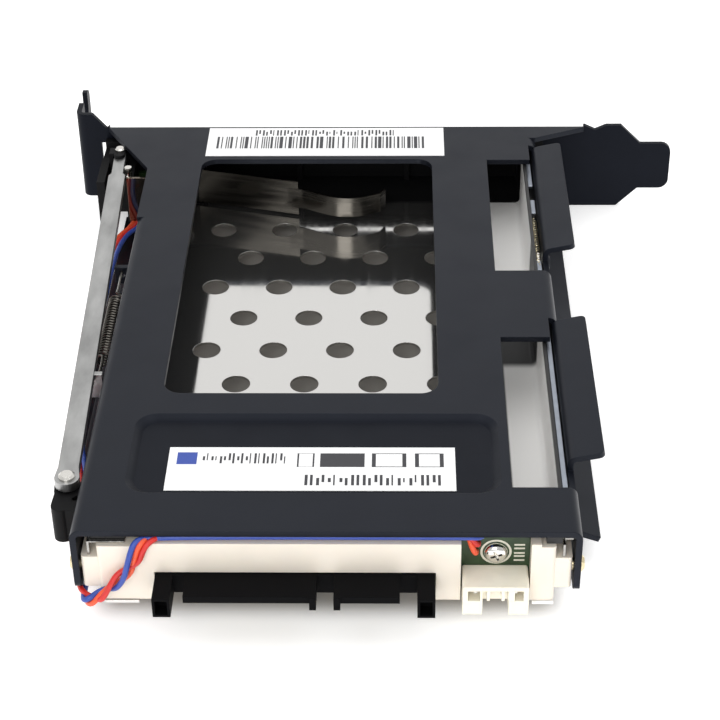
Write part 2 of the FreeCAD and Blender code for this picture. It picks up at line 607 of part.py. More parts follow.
# ---------------------------------------------------------------- inner cage
CAGE_TOP = -(GAUGE + SEAT_GAP)
CAGE_REAR_WALL = COVER_LENGTH - 2.3
FLOOR_REAR = COVER_LENGTH - BLOCK_LENGTH + 1.0
TAB_REAR = COVER_LENGTH + 0.25
FRONT_TAB = (6.5, 9.6)          # width and height of the tab beside the bar's guide
FRONT_TAB_TOP = -1.9
PIVOT_TAB = (2.4, 4.6)
EAR_FRONT = COVER_LENGTH - EAR_LENGTH


def floor_holes():
    """Rows of round holes, each row shifted by half a pitch."""
    holes = []
    for row in range(HOLE_ROWS):
        y = -(FIRST_ROW + row * HOLE_PITCH * math.sin(math.radians(60)))
        columns = HOLE_COLUMNS - row % 2
        for column in range(columns):
            x = (column - (columns - 1) / 2) * HOLE_PITCH + SIDE_PLAY
            holes.append(rod(V(x, y, FLOOR_Z - CAGE_GAUGE - 1), Z_AXIS, HOLE_RADIUS, CAGE_GAUGE + 2))
    return holes


def inner_cage():
    """Open box of thin polished sheet that guides the drive."""
    outer, bottom = CAGE_OUTSIDE, FLOOR_Z - CAGE_GAUGE
    cage = folded_sheet([(outer, CAGE_TOP), (outer, bottom), (-outer, bottom), (-outer, CAGE_TOP)],
                        CAGE_GAUGE, CAGE_BEND, across(-CAGE_REAR_WALL), V(0, CAGE_REAR_WALL - CAGE_FRONT, 0))
    cage = cage.cut(box((-CAGE_INSIDE + CAGE_BEND, CAGE_INSIDE - CAGE_BEND), (-FLOOR_REAR, -COVER_LENGTH),
                        (bottom - 1, FLOOR_Z + 1)))
    cage = cage.cut(box((-outer - 1, outer + 1), (-FLOOR_REAR, -COVER_LENGTH), (bottom - 1, FLOOR_Z + CAGE_BEND)))
    for side, (inset, tab_width) in zip((-1, 1), FLOOR_TABS):
        cage = cage.fuse(box((side * (CAGE_INSIDE - inset - tab_width), side * (CAGE_INSIDE - inset)),
                             (-FLOOR_REAR + 1, -TAB_REAR), (bottom, FLOOR_Z)))
        cage = cage.cut(box((side * (CAGE_INSIDE - 1), side * (outer + 1)), (-EAR_FRONT + SEAT_GAP, -COVER_LENGTH),
                            (-EAR_TOP + SEAT_GAP, -EAR_BOTTOM - SEAT_GAP)))
        cage = cage.cut(rod(V(side * (outer + 1), -CAGE_SCREW_Y, CAGE_SCREW_Z), X_AXIS * -side,
                            CAGE_SCREW[2] + FIT_GAP, 3))
    width, height = FRONT_TAB
    front = -(GUIDE_END + SEAT_GAP)
    cage = cage.fuse(box((-outer - width, -outer + CAGE_GAUGE / 2), (front, front - CAGE_GAUGE),
                         (FRONT_TAB_TOP, FRONT_TAB_TOP - height)))
    slot_top = LEVER_TOP + SEAT_GAP + CAGE_GAUGE
    slot_bottom = LEVER_TOP - LEVER_HEIGHT - SEAT_GAP - CAGE_GAUGE
    cage = cage.cut(box((-outer - 1, -CAGE_INSIDE + 1), (PIVOT_Y + 3.0, -EAR_FRONT - 0.1), (slot_top, slot_bottom)))
    reach, length = PIVOT_TAB
    for level in (slot_top - CAGE_GAUGE, slot_bottom):
        tab = link((-outer + 0.3, PIVOT_Y), (PIVOT_X - 0.1, PIVOT_Y), length / 4, (level, level + CAGE_GAUGE))
        cage = cage.fuse(tab)
        cage = cage.fuse(box((-outer, -CAGE_INSIDE), (PIVOT_Y - length / 2, PIVOT_Y + 3.1),
                             (level, level + CAGE_GAUGE)))
    cage = cage.cut(rod(V(PIVOT_X, PIVOT_Y, slot_bottom - 1), Z_AXIS, PIN_RADIUS + FIT_GAP, LEVER_HEIGHT + 4))
    return cage.cut(Part.makeCompound(floor_holes())).removeSplitter()


# ---------------------------------------------------------------- connector block
BLOCK_HALF = CAGE_INSIDE - BLOCK_SIDE_GAP
BLOCK_BOTTOM = FLOOR_Z + 0.1
EAR_REACH = COVER_HALF - GAUGE - SEAT_GAP
WINDOW_RIGHT = BLOCK_HALF - WINDOW_POST
WINDOW_LEFT = WINDOW_RIGHT - BOARD_WINDOW
BOARD_SCREW_X = WINDOW_LEFT + BOARD_SCREW_OFFSET
BOARD_X = (BOARD_INSET[0] - BLOCK_HALF, BLOCK_HALF - BOARD_INSET[1])
HEADER_X = (WINDOW_LEFT + WINDOW_RIGHT) / 2
PLUG_TOP = CONNECTOR_Z + PLUG_HEIGHT / 2
PLUG_BOTTOM = CONNECTOR_Z - PLUG_HEIGHT / 2
PLUG_X = (CONNECTOR_OFFSET - PLUG_WIDTH / 2, CONNECTOR_OFFSET + PLUG_WIDTH / 2)
BOARD_TOP = -(BLOCK_TOP + 0.8)
BOARD_STEP_TOP = -(GAUGE + SEAT_GAP)
BOARD_BOTTOM = BLOCK_BOTTOM + 0.4
HEADER_WIDTH, HEADER_DEPTH, HEADER_HEIGHT = HEADER_SIZE
LEVER_POCKET_X = 7.4 - BLOCK_HALF
LEVER_POCKET_DEPTH = 2.6


def connector_block():
    """Moulded block across the rear of the cage that carries the board and the connectors."""
    block = rounded_slab((-BLOCK_HALF, BLOCK_HALF), (REAR_Y, BLOCK_FRONT_Y), (BLOCK_BOTTOM, -BLOCK_TOP), BLOCK_RADIUS)
    ears = rounded_slab((-EAR_REACH, EAR_REACH), (REAR_Y + BLOCK_RADIUS / 2, REAR_Y + EAR_LENGTH),
                        (-EAR_BOTTOM, -EAR_TOP), BLOCK_RADIUS)
    block = block.fuse(ears)
    for side, length in zip((-1, 1), BLOCK_ENDS):
        block = block.cut(box((side * (BLOCK_HALF - length), side * (EAR_REACH + 1)), (REAR_Y - 1, BLOCK_FRONT_Y + 1),
                              (-BLOCK_END_TOP, 0)))
    slot = (BOARD_REAR_Y - SEAT_GAP / 2, BOARD_FRONT_Y + SEAT_GAP / 2)
    block = block.cut(box((BOARD_X[0] - SEAT_GAP / 2, BOARD_X[1] + SEAT_GAP / 2), slot,
                          (BLOCK_BOTTOM - 1, BOARD_TOP + SEAT_GAP / 2)))
    block = block.cut(box((WINDOW_LEFT, WINDOW_RIGHT), slot, (BOARD_TOP, 0)))
    behind = (REAR_Y - 1, BOARD_REAR_Y)
    block = block.cut(box((WINDOW_LEFT, WINDOW_RIGHT), behind, (BLOCK_BOTTOM - 1, 0)))
    block = block.cut(box((PLUG_X[0] - SEAT_GAP / 2, PLUG_X[1] + SEAT_GAP / 2), behind,
                          (BLOCK_BOTTOM - 1, PLUG_TOP + SEAT_GAP / 2)))
    ahead = (BOARD_FRONT_Y, BLOCK_FRONT_Y + 1)
    half = RECEPTACLE_HEIGHT / 2 + SEAT_GAP / 2
    block = block.cut(box((PLUG_X[0] - SEAT_GAP / 2, PLUG_X[1] + SEAT_GAP / 2), ahead,
                          (BLOCK_BOTTOM - 1, CONNECTOR_Z + half)))
    block = block.cut(box((-BLOCK_HALF - 3, LEVER_POCKET_X), (BLOCK_FRONT_Y - LEVER_POCKET_DEPTH, BLOCK_FRONT_Y + 1),
                          (-BLOCK_TOP + 1, LEVER_TOP - LEVER_HEIGHT - 1.2)))
    block = block.cut(rod(V(BOARD_SCREW_X, BOARD_REAR_Y, BOARD_SCREW_Z), Y_AXIS, BOARD_SCREW[2] + FIT_GAP, 5.2))
    for side in (-1, 1):
        block = block.cut(rod(V(side * (EAR_REACH + 1), -SIDE_SCREW_Y, SIDE_SCREW_Z), X_AXIS * -side,
                              SIDE_SCREW[2] + FIT_GAP, SIDE_SCREW_REACH))
    return block.removeSplitter()


def circuit_board():
    """Upright board between the two connectors."""
    step = (WINDOW_LEFT + BOARD_STEP, WINDOW_RIGHT - SEAT_GAP)
    outline = [(BOARD_X[0], BOARD_BOTTOM), (BOARD_X[1], BOARD_BOTTOM), (BOARD_X[1], BOARD_TOP),
               (step[1], BOARD_TOP), (step[1], BOARD_STEP_TOP), (step[0], BOARD_STEP_TOP),
               (step[0], BOARD_TOP), (BOARD_X[0], BOARD_TOP)]
    board = prism([V(x, BOARD_REAR_Y, z) for x, z in outline], V(0, BOARD_THICKNESS, 0))
    return board.cut(rod(V(BOARD_SCREW_X, BOARD_REAR_Y - 1, BOARD_SCREW_Z), Y_AXIS,
                         BOARD_SCREW[2] + FIT_GAP, BOARD_THICKNESS + 2))


def plug_layout():
    """x ranges of the plug's left post, power tongue, signal tongue and right post."""
    x = PLUG_X[0]
    ranges = []
    for width, gap in zip((POST_WIDTH, POWER_TONGUE, SIGNAL_TONGUE, POST_WIDTH), PLUG_GAPS + (0,)):
        ranges.append((x, x + width))
        x += width + gap
    return ranges


def sata_plug():
    """Rear plug: two guide posts and two L-shaped tongues on a common base."""
    left_post, power, signal, right_post = plug_layout()
    end_y = REAR_Y - PLUG_REACH
    plug = box(PLUG_X, (BOARD_REAR_Y - 0.05, REAR_Y - 0.4), (PLUG_BOTTOM, PLUG_TOP))
    for x_range in (left_post, (PLUG_X[1] - POST_WIDTH, PLUG_X[1])):
        plug = plug.fuse(box(x_range, (REAR_Y, end_y), (PLUG_BOTTOM, PLUG_TOP)))
        hollow = (x_range[0] + POST_WALL, x_range[1] - POST_WALL)
        plug = plug.cut(box(hollow, (end_y - 1, end_y + 2.2), (PLUG_BOTTOM + POST_WALL, PLUG_TOP - POST_WALL)))
    tongue_end = end_y + 0.6
    for x_range, key_x in ((power, (power[1] - KEY_WIDTH, power[1])), (signal, (signal[0], signal[0] + KEY_WIDTH))):
        plug = plug.fuse(box(x_range, (REAR_Y, tongue_end), (PLUG_TOP - TONGUE_THICKNESS, PLUG_TOP)))
        plug = plug.fuse(box(key_x, (REAR_Y, tongue_end - 0.3), (PLUG_TOP - KEY_HEIGHT, PLUG_TOP)))
    return plug.removeSplitter()


def contact_row(x_range, count, y_range, z, height):
    """Row of flat contacts, centred in an x range."""
    middle = sum(x_range) / 2
    strips = []
    for index in range(count):
        x = middle + (index - (count - 1) / 2) * CONTACT_PITCH
        strips.append(box((x - CONTACT_WIDTH / 2, x + CONTACT_WIDTH / 2), y_range, (z, z + height)))
    return strips


def plug_contacts():
    """Gold contacts on the underside of the plug's tongues."""
    left_post, power, signal, right_post = plug_layout()
    lengths = (REAR_Y - 0.6, REAR_Y - PLUG_REACH + 1.2)
    under = PLUG_TOP - TONGUE_THICKNESS - CONTACT_THICKNESS
    strips = contact_row((power[0], power[1] - KEY_WIDTH), POWER_CONTACTS, lengths, under, CONTACT_THICKNESS)
    strips += contact_row((signal[0] + KEY_WIDTH, signal[1]), SIGNAL_CONTACTS, lengths, under, CONTACT_THICKNESS)
    return Part.makeCompound(strips)


RECEPTACLE_SLOT = 2.0
RECEPTACLE_SLOT_DEPTH = 5.2


def drive_receptacle():
    """Receptacle that enters the drive's own connector."""
    left_post, power, signal, right_post = plug_layout()
    x_range = (left_post[1] + 0.2, PLUG_X[1] - POST_WIDTH - 0.2)
    half = RECEPTACLE_HEIGHT / 2
    front = BLOCK_FRONT_Y + RECEPTACLE_REACH
    body = box(x_range, (BOARD_FRONT_Y + 0.05, front), (CONNECTOR_Z - half, CONNECTOR_Z + half))
    body = body.fuse(box((PLUG_X[0], PLUG_X[1]), (BOARD_FRONT_Y + 0.05, BLOCK_FRONT_Y - 1),
                         (CONNECTOR_Z - half, CONNECTOR_Z + half)))
    for tongue in (power, signal):
        slot = (tongue[0] - 0.15, tongue[1] + 0.15)
        body = body.cut(box(slot, (front - RECEPTACLE_SLOT_DEPTH, front + 1),
                            (CONNECTOR_Z - 0.2, CONNECTOR_Z - 0.2 + RECEPTACLE_SLOT)))
    return body.removeSplitter()


def receptacle_contacts():
    """Gold contacts on the floor of the receptacle's slots."""
    left_post, power, signal, right_post = plug_layout()
    front = BLOCK_FRONT_Y + RECEPTACLE_REACH
    lengths = (front - RECEPTACLE_SLOT_DEPTH + 0.1, front - 0.6)
    floor = CONNECTOR_Z - 0.2 + 0.01
    strips = contact_row((power[0], power[1] - KEY_WIDTH), POWER_CONTACTS, lengths, floor, CONTACT_THICKNESS)
    strips += contact_row((signal[0] + KEY_WIDTH, signal[1]), SIGNAL_CONTACTS, lengths, floor, CONTACT_THICKNESS)
    return Part.makeCompound(strips)


HEADER_LEFT = HEADER_X - HEADER_WIDTH / 2
HEADER_REAR_Y = BOARD_REAR_Y - HEADER_DEPTH
HEADER_LOW = -HEADER_TOP - HEADER_HEIGHT
HEADER_BACK = 1.6


def power_header():
    """Shrouded header, open to the rear, with a gap between its two lower legs."""
    wall = HEADER_WALL
    body = box((HEADER_LEFT, HEADER_LEFT + HEADER_WIDTH), (HEADER_REAR_Y, BOARD_REAR_Y - 0.05),
               (HEADER_LOW, -HEADER_TOP))
    body = body.makeFillet(0.35, edges_at(body, lambda middle: close_to(middle.y, (HEADER_REAR_Y + BOARD_REAR_Y) / 2,
                                                                        0.1) and middle.z > HEADER_LOW + 1))
    mouth = (-HEADER_TOP - wall, -HEADER_TOP - wall - HEADER_MOUTH)
    cavity = box((HEADER_LEFT + wall, HEADER_LEFT + HEADER_WIDTH - wall), (HEADER_REAR_Y - 1, BOARD_REAR_Y - HEADER_BACK),
                 mouth)
    gap = box((HEADER_X - HEADER_LEG_GAP / 2, HEADER_X + HEADER_LEG_GAP / 2),
              (HEADER_REAR_Y - 1, BOARD_REAR_Y - HEADER_BACK), (HEADER_LOW - 1, mouth[1] + 0.1))
    return body.cut(cavity).cut(gap)


def header_pins():
    """Square pins inside the header."""
    middle_z = -HEADER_TOP - HEADER_WALL - HEADER_MOUTH / 2
    half = HEADER_PIN / 2
    pins = []
    for index in range(HEADER_PINS):
        x = HEADER_X + (index - (HEADER_PINS - 1) / 2) * HEADER_PITCH
        pins.append(box((x - half, x + half), (BOARD_REAR_Y - HEADER_BACK - 0.01, HEADER_REAR_Y + 0.9),
                        (middle_z - half, middle_z + half)))
    return Part.makeCompound(pins)


def board_screw():
    return pan_screw(V(BOARD_SCREW_X, BOARD_REAR_Y - 0.02, BOARD_SCREW_Z), Y_AXIS, BOARD_SCREW, 5.0)


def screw_pair(y, z, sizes, reach):
    """The same screw through the left and the right wall of the cover."""
    screws = [pan_screw(V(side * (COVER_HALF + 0.02), -y, z), X_AXIS * -side, sizes, reach) for side in (-1, 1)]
    return Part.makeCompound(screws)


def side_screws():
    return screw_pair(SIDE_SCREW_Y, SIDE_SCREW_Z, SIDE_SCREW, SIDE_SCREW_REACH)


def cage_screws():
    return screw_pair(CAGE_SCREW_Y, CAGE_SCREW_Z, CAGE_SCREW, GAUGE + CAGE_SPACE + CAGE_GAUGE)


def cage_spacers():
    """Six-sided collars that hold the cage off the cover's walls at the cage screws."""
    collars = []
    length = CAGE_SPACE - 2 * FIT_GAP
    for side in (-1, 1):
        start = V(side * (CAGE_OUTSIDE + FIT_GAP), -CAGE_SCREW_Y, CAGE_SCREW_Z)
        rim = [start + FreeCAD.Rotation(X_AXIS, 60 * turn).multVec(V(0, 0, CAGE_SCREW[0] + 0.6)) for turn in range(6)]
        collar = prism(rim, X_AXIS * side * length)
        collars.append(collar.cut(rod(start - X_AXIS * side, X_AXIS * side, CAGE_SCREW[2] + FIT_GAP, length + 2)))
    return Part.makeCompound(collars)


# ---------------------------------------------------------------- front frame and door
APERTURE = CAGE_INSIDE
APERTURE_FLOOR = FLOOR_Z + 0.05
DOOR_REAR_Y = FRAME_PROUD + SEAT_GAP
DOOR_FRONT_Y = DOOR_REAR_Y + DOOR_THICKNESS
HINGE_Y_LINE = DOOR_REAR_Y + HINGE_RADIUS
DOOR_LEFT = HINGE_X + HINGE_RADIUS + SEAT_GAP
DOOR_RIGHT = FRAME_RIGHT
CHANNEL_HALF = BUTTON_SIZE[0] / 2 + 0.2
CHANNEL_LOW = -5.0 - BUTTON_SIZE[2] - 0.2
CHANNEL_HIGH = -5.0 + 0.2
GUIDE_RIGHT = GUIDE_PIN_X + PIN_RADIUS + 0.1
GUIDE_TOP = BAR_BOTTOM - SEAT_GAP
NIB_X = (DOOR_RIGHT - 1.6, DOOR_RIGHT - 0.6)
NIB_Z = (-11.2, -7.6)
NIB_REACH = 1.6
DOOR_RIBS = (-10.0, 12.0)
SPRING_SEAT_Y = -8.4
SPRING_BENDS = (3.0, 9.0, 0.6)
RIVET_X = -CAGE_INSIDE + 3.2
RIVET_Z = (BRACKET_MIDDLE - 2.0, BRACKET_MIDDLE + 2.0)
BAND_END = (-9.0, -13.6)


def front_frame():
    """Moulded frame in the bracket's opening: the drive's mouth, the button's guide and the hinge ears."""
    frame = box((-FRAME_LEFT, FRAME_RIGHT), (-FRAME_DEPTH, FRAME_PROUD), (FRAME_BOTTOM, FRAME_TOP))
    lip_y = (-GAUGE - SEAT_GAP, -GAUGE - SEAT_GAP - LIP_THICKNESS)
    frame = frame.fuse(box((-FRAME_LEFT, FRAME_RIGHT + LIP + SEAT_GAP), lip_y,
                           (FRAME_BOTTOM - LIP, FRAME_TOP + LIP)))
    frame = frame.fuse(box((-FRAME_LEFT, GUIDE_RIGHT), (-GUIDE_END, -FRAME_DEPTH), (CHANNEL_LOW + 0.8, GUIDE_TOP)))
    frame = frame.cut(box((-APERTURE, APERTURE), (-FRAME_DEPTH - 1, FRAME_PROUD + 1), (APERTURE_FLOOR, 0)))
    frame = frame.cut(box((COVER_HALF - GAUGE - SEAT_GAP, COVER_HALF + 2),
                          (-FRAME_DEPTH - 1, -RIGHT_SHOULDER_LENGTH + SEAT_GAP), (-BRACKET_WIDTH, 0)))
    channel = (BUTTON_X - CHANNEL_HALF, BUTTON_X + CHANNEL_HALF)
    frame = frame.cut(box(channel, (-GUIDE_END - 1, FRAME_PROUD + 1), (CHANNEL_LOW, CHANNEL_HIGH)))
    frame = frame.cut(box(channel, (-GUIDE_END - 1, POST_RADIUS + SEAT_GAP - BAR_FRONT_DISTANCE), (CHANNEL_LOW, 0)))
    frame = frame.cut(rod(V(LED_X, -FRAME_DEPTH - 1, BRACKET_MIDDLE), Y_AXIS, LED_RADIUS + FIT_GAP, FRAME_DEPTH + 3))
    frame = frame.cut(box((NIB_X[0] - SEAT_GAP, NIB_X[1] + SEAT_GAP), (-NIB_REACH, FRAME_PROUD + 1),
                          (NIB_Z[0] - SEAT_GAP, NIB_Z[1] + SEAT_GAP)))
    for level in ((FRAME_TOP - HINGE_EAR, FRAME_TOP), (FRAME_BOTTOM, FRAME_BOTTOM + HINGE_EAR)):
        ear = link((HINGE_X, -1), (HINGE_X, HINGE_Y_LINE), HINGE_RADIUS, level)
        frame = frame.fuse(ear)
    for x, y in ((HINGE_X, HINGE_Y_LINE), (GUIDE_PIN_X, -GUIDE_PIN_DISTANCE)):
        frame = frame.cut(rod(V(x, y, FRAME_BOTTOM + 0.6), Z_AXIS, PIN_RADIUS + FIT_GAP, 20))
    frame = frame.cut(rod(V(STOP_PIN_X, -STOP_PIN_DISTANCE, CHANNEL_HIGH - 1), Z_AXIS, PIN_RADIUS + FIT_GAP, 10))
    return frame.removeSplitter()


def door():
    """Hinged front door: ribbed shell with vents, hinge barrel, spring carrier and latch nib."""
    height = (FRAME_BOTTOM, FRAME_TOP)
    panel = box((DOOR_LEFT, DOOR_RIGHT), (DOOR_REAR_Y, DOOR_FRONT_Y), height)
    panel = panel.makeFillet(DOOR_RADIUS, edges_at(panel, lambda middle: close_to(middle.y, DOOR_FRONT_Y)
                                                   and middle.x > DOOR_LEFT + 0.5))
    panel = panel.cut(box((-CAGE_INSIDE + 6.5, DOOR_RIGHT - 3.2), (DOOR_REAR_Y - 1, DOOR_FRONT_Y - DOOR_SKIN),
                          (FRAME_BOTTOM + 1.4, FRAME_TOP - 1.4)))
    for x in DOOR_RIBS:
        panel = panel.fuse(box((x, x + 1.0), (DOOR_REAR_Y, DOOR_FRONT_Y - 0.5), (FRAME_BOTTOM + 1, FRAME_TOP - 1)))
    between = (FRAME_BOTTOM + HINGE_EAR + SEAT_GAP, FRAME_TOP - HINGE_EAR - SEAT_GAP)
    barrel = rod(V(HINGE_X, HINGE_Y_LINE, between[0]), Z_AXIS, HINGE_RADIUS, between[1] - between[0])
    panel = panel.fuse(barrel)
    panel = panel.fuse(box((HINGE_X, DOOR_LEFT + 1), (HINGE_Y_LINE - HINGE_RADIUS, HINGE_Y_LINE + HINGE_RADIUS), between))
    carrier_z = (BRACKET_MIDDLE - SPRING_BAND / 2 + 0.4, BRACKET_MIDDLE + SPRING_BAND / 2 - 0.4)
    panel = panel.fuse(box((-CAGE_INSIDE + 0.9, -CAGE_INSIDE + 5.6), (SPRING_SEAT_Y, DOOR_FRONT_Y - 1), carrier_z))
    panel = panel.fuse(box(NIB_X, (DOOR_REAR_Y - NIB_REACH, DOOR_REAR_Y + 1), NIB_Z))
    middle = (VENT_COUNT - 1) / 2
    for index in range(VENT_COUNT):
        x = 1.5 + (index - middle) * VENT_PITCH
        panel = panel.cut(box((x - VENT_WIDTH / 2, x + VENT_WIDTH / 2), (DOOR_FRONT_Y - VENT_DEPTH, DOOR_FRONT_Y + 1),
                              (BRACKET_MIDDLE - VENT_HEIGHT / 2, BRACKET_MIDDLE + VENT_HEIGHT / 2)))
    panel = panel.cut(rod(V(HINGE_X, HINGE_Y_LINE, FRAME_BOTTOM - 1), Z_AXIS, PIN_RADIUS + FIT_GAP, 20))
    for z in RIVET_Z:
        panel = panel.cut(rod(V(RIVET_X, SPRING_SEAT_Y - 1, z), Y_AXIS, RIVET[2] + FIT_GAP, 4.2))
    return panel.removeSplitter()




def door_spring():
    """Leaf spring: a wide band from the door's carrier and a narrow finger that presses on the drive."""
    level = BRACKET_MIDDLE
    seat = SPRING_SEAT_Y - 0.02
    low = level - SPRING_BAND / 2
    band = folded_sheet([(-CAGE_INSIDE + 1.1, seat), (-CAGE_INSIDE + 5.8, seat), BAND_END], SPRING_GAUGE, 1.0,
                        lambda point: V(point.x, point.y, low), V(0, 0, SPRING_BAND))
    low_finger = level - SPRING_FINGER / 2
    slope = (BAND_END[0] + 1.0, BAND_END[1] - 0.35)
    finger = folded_sheet([(BAND_END[0] - 2.0, BAND_END[1] + 0.5), slope, (0.6, -SPRING_BULGE - 0.7),
                           (7.0, -SPRING_BULGE + 2.2), (8.0, -SPRING_BULGE + 4.0)], SPRING_GAUGE, SPRING_BENDS,
                          lambda point: V(point.x, point.y, low_finger), V(0, 0, SPRING_FINGER))
    spring = band.fuse(finger)
    for z in RIVET_Z:
        spring = spring.cut(rod(V(RIVET_X, SPRING_SEAT_Y - 3, z), Y_AXIS, RIVET[2] + FIT_GAP, 5))
    return spring.removeSplitter()


def spring_rivets():
    head_radius, head_height, radius = RIVET
    seat = SPRING_SEAT_Y - SPRING_GAUGE - 0.05
    rivets = []
    for z in RIVET_Z:
        rivet = rod(V(RIVET_X, seat - head_height, z), Y_AXIS, head_radius, head_height)
        rivets.append(rivet.fuse(rod(V(RIVET_X, seat, z), Y_AXIS, radius, 3.2)))
    return Part.makeCompound(rivets)


def door_hinge_pin():
    return rod(V(HINGE_X, HINGE_Y_LINE, FRAME_BOTTOM + 0.65), Z_AXIS, PIN_RADIUS, FRAME_TOP - FRAME_BOTTOM - 0.75)


# ---------------------------------------------------------------- eject linkage
BUTTON_TOP = -5.0
BUTTON_REAR = -12.6
POST_RADIUS = 1.5
BAR_ANGLE = math.atan2(BAR_REAR[0] - BAR_FRONT[0], BAR_REAR[1] - BAR_FRONT[1])
BAR_SPAN = math.hypot(BAR_REAR[0] - BAR_FRONT[0], BAR_REAR[1] - BAR_FRONT[1])
BAR_NOSE = 2.2
BAR_TAIL = 3.2
BAR_TAB = (1.9, 1.0, 4.6)


def bar_centre(distance):
    """x of the bar's centre line at a distance behind the bracket's face."""
    return BAR_FRONT[0] + (distance - BAR_FRONT[1]) * math.tan(BAR_ANGLE)


def eject_button():
    """Push button with the post and the cap that hold the nose of the eject bar between them."""
    half = BUTTON_SIZE[0] / 2
    button = box((BUTTON_X - half, BUTTON_X + half), (BUTTON_REAR, BUTTON_PROUD), (BUTTON_TOP - BUTTON_SIZE[2], BUTTON_TOP))
    button = button.makeFillet(0.8, edges_at(button, lambda middle: close_to(middle.y, BUTTON_PROUD)))
    post = rod(V(BAR_FRONT[0], -BAR_FRONT[1], BUTTON_TOP - 1), Z_AXIS, POST_RADIUS, BAR_BOTTOM - 0.05 - BUTTON_TOP + 1)
    low, high = BAR_TOP + FIT_GAP, BAR_TOP + FIT_GAP + BUTTON_CAP
    rear, left = -BAR_FRONT[1] - BUTTON_CAP_REACH, BUTTON_X - half
    cap = link((BAR_FRONT[0], -BAR_FRONT[1]), (BAR_FRONT[0], rear), PIN_HEAD - 0.05, (low, high))
    cap = cap.fuse(box((left, BAR_FRONT[0]), (-FRAME_DEPTH - SEAT_GAP, rear), (low, high)))
    side = box((left, BAR_FRONT[0] - BAR_NOSE / 2 - SEAT_GAP / 2), (-FRAME_DEPTH - SEAT_GAP, rear), (BUTTON_TOP - 1, high))
    button = button.multiFuse([post, cap, side])
    button = button.cut(rod(V(BAR_FRONT[0], -BAR_FRONT[1], BUTTON_TOP - 3), Z_AXIS, PIN_RADIUS + FIT_GAP, 9))
    slot = link((STOP_PIN_X, -STOP_PIN_DISTANCE), (STOP_PIN_X, -STOP_PIN_DISTANCE + EJECT_TRAVEL), PIN_RADIUS + 0.2,
                (BUTTON_TOP - 2.4, BUTTON_TOP + 1))
    return button.cut(slot)


def button_stop_pin():
    """Pin through the frame into the button's slot, which ends the button's travel."""
    return headed_pin(STOP_PIN_X, -STOP_PIN_DISTANCE, BUTTON_TOP - 1.8, FRAME_TOP + 0.02, PIN_RADIUS, PIN_HEAD, 0.7)


def bar_guide_pin():
    """Pin beside the front of the bar that keeps it in line."""
    bottom = FRAME_BOTTOM + 3.6
    return rod(V(GUIDE_PIN_X, -GUIDE_PIN_DISTANCE, bottom), Z_AXIS, PIN_RADIUS, BAR_TOP + 0.6 - bottom)


def eject_bar():
    """Long flat bar that carries the button's stroke to the lever, with the tab that the spring pulls on."""
    half = BAR_WIDTH / 2
    front, rear = 0.0, BAR_SPAN
    nose_half = BAR_NOSE / 2
    neck = GUIDE_PIN_DISTANCE - BAR_FRONT_DISTANCE + PIN_RADIUS
    outline = [(-nose_half, front - 1.2), (-nose_half * 0.4, front - 1.9), (nose_half * 0.4, front - 1.9),
               (nose_half, front - 1.2), (nose_half, neck + 0.4), (half, neck + 1.2), (half, rear + BAR_TAIL - 1.7),
               (half * 0.35, rear + BAR_TAIL), (-half * 0.35, rear + BAR_TAIL), (-half, rear + BAR_TAIL - 1.7),
               (-half, front + 3.2), (-nose_half, front + 1.6)]
    bar = prism([V(x, -y, 0) for x, y in outline], V(0, 0, BAR_THICKNESS))
    bar = bar.makeFillet(0.5, edges_at(bar, lambda middle: close_to(middle.z, BAR_THICKNESS / 2)
                                       and middle.y < -BAR_SPAN))
    for along, radius in ((front, PIN_RADIUS + FIT_GAP), (rear, PIN_RADIUS + FIT_GAP), (rear - 6.6, 0.35)):
        bar = bar.cut(rod(V(0, -along, -1), Z_AXIS, radius, BAR_THICKNESS + 2))
    bar.Placement = FreeCAD.Placement(V(BAR_FRONT[0], -BAR_FRONT[1], BAR_BOTTOM),
                                      FreeCAD.Rotation(Z_AXIS, math.degrees(BAR_ANGLE)))
    reach, thick, drop = BAR_TAB
    centre = bar_centre(HOOK_REAR)
    tab = box((centre, COIL_X + COIL_RADIUS), (-HOOK_REAR, -HOOK_REAR + thick), (COIL_Z - reach / 2, BAR_TOP - 0.3))
    tab = tab.cut(rod(V(COIL_X, -HOOK_REAR - 1, COIL_Z), Y_AXIS, COIL_WIRE, thick + 2))
    return bar.fuse(tab)


def bar_front_pin():
    return headed_pin(BAR_FRONT[0], -BAR_FRONT[1], BUTTON_TOP - 2.8, BAR_TOP + FIT_GAP + BUTTON_CAP + 0.02,
                      PIN_RADIUS, PIN_HEAD - 0.1, 0.5)


def bar_rivet():
    return headed_pin(BAR_REAR[0], -BAR_REAR[1], LEVER_TOP - LEVER_HEIGHT + 1, BAR_TOP + 0.02, PIN_RADIUS, 1.3, 0.6)


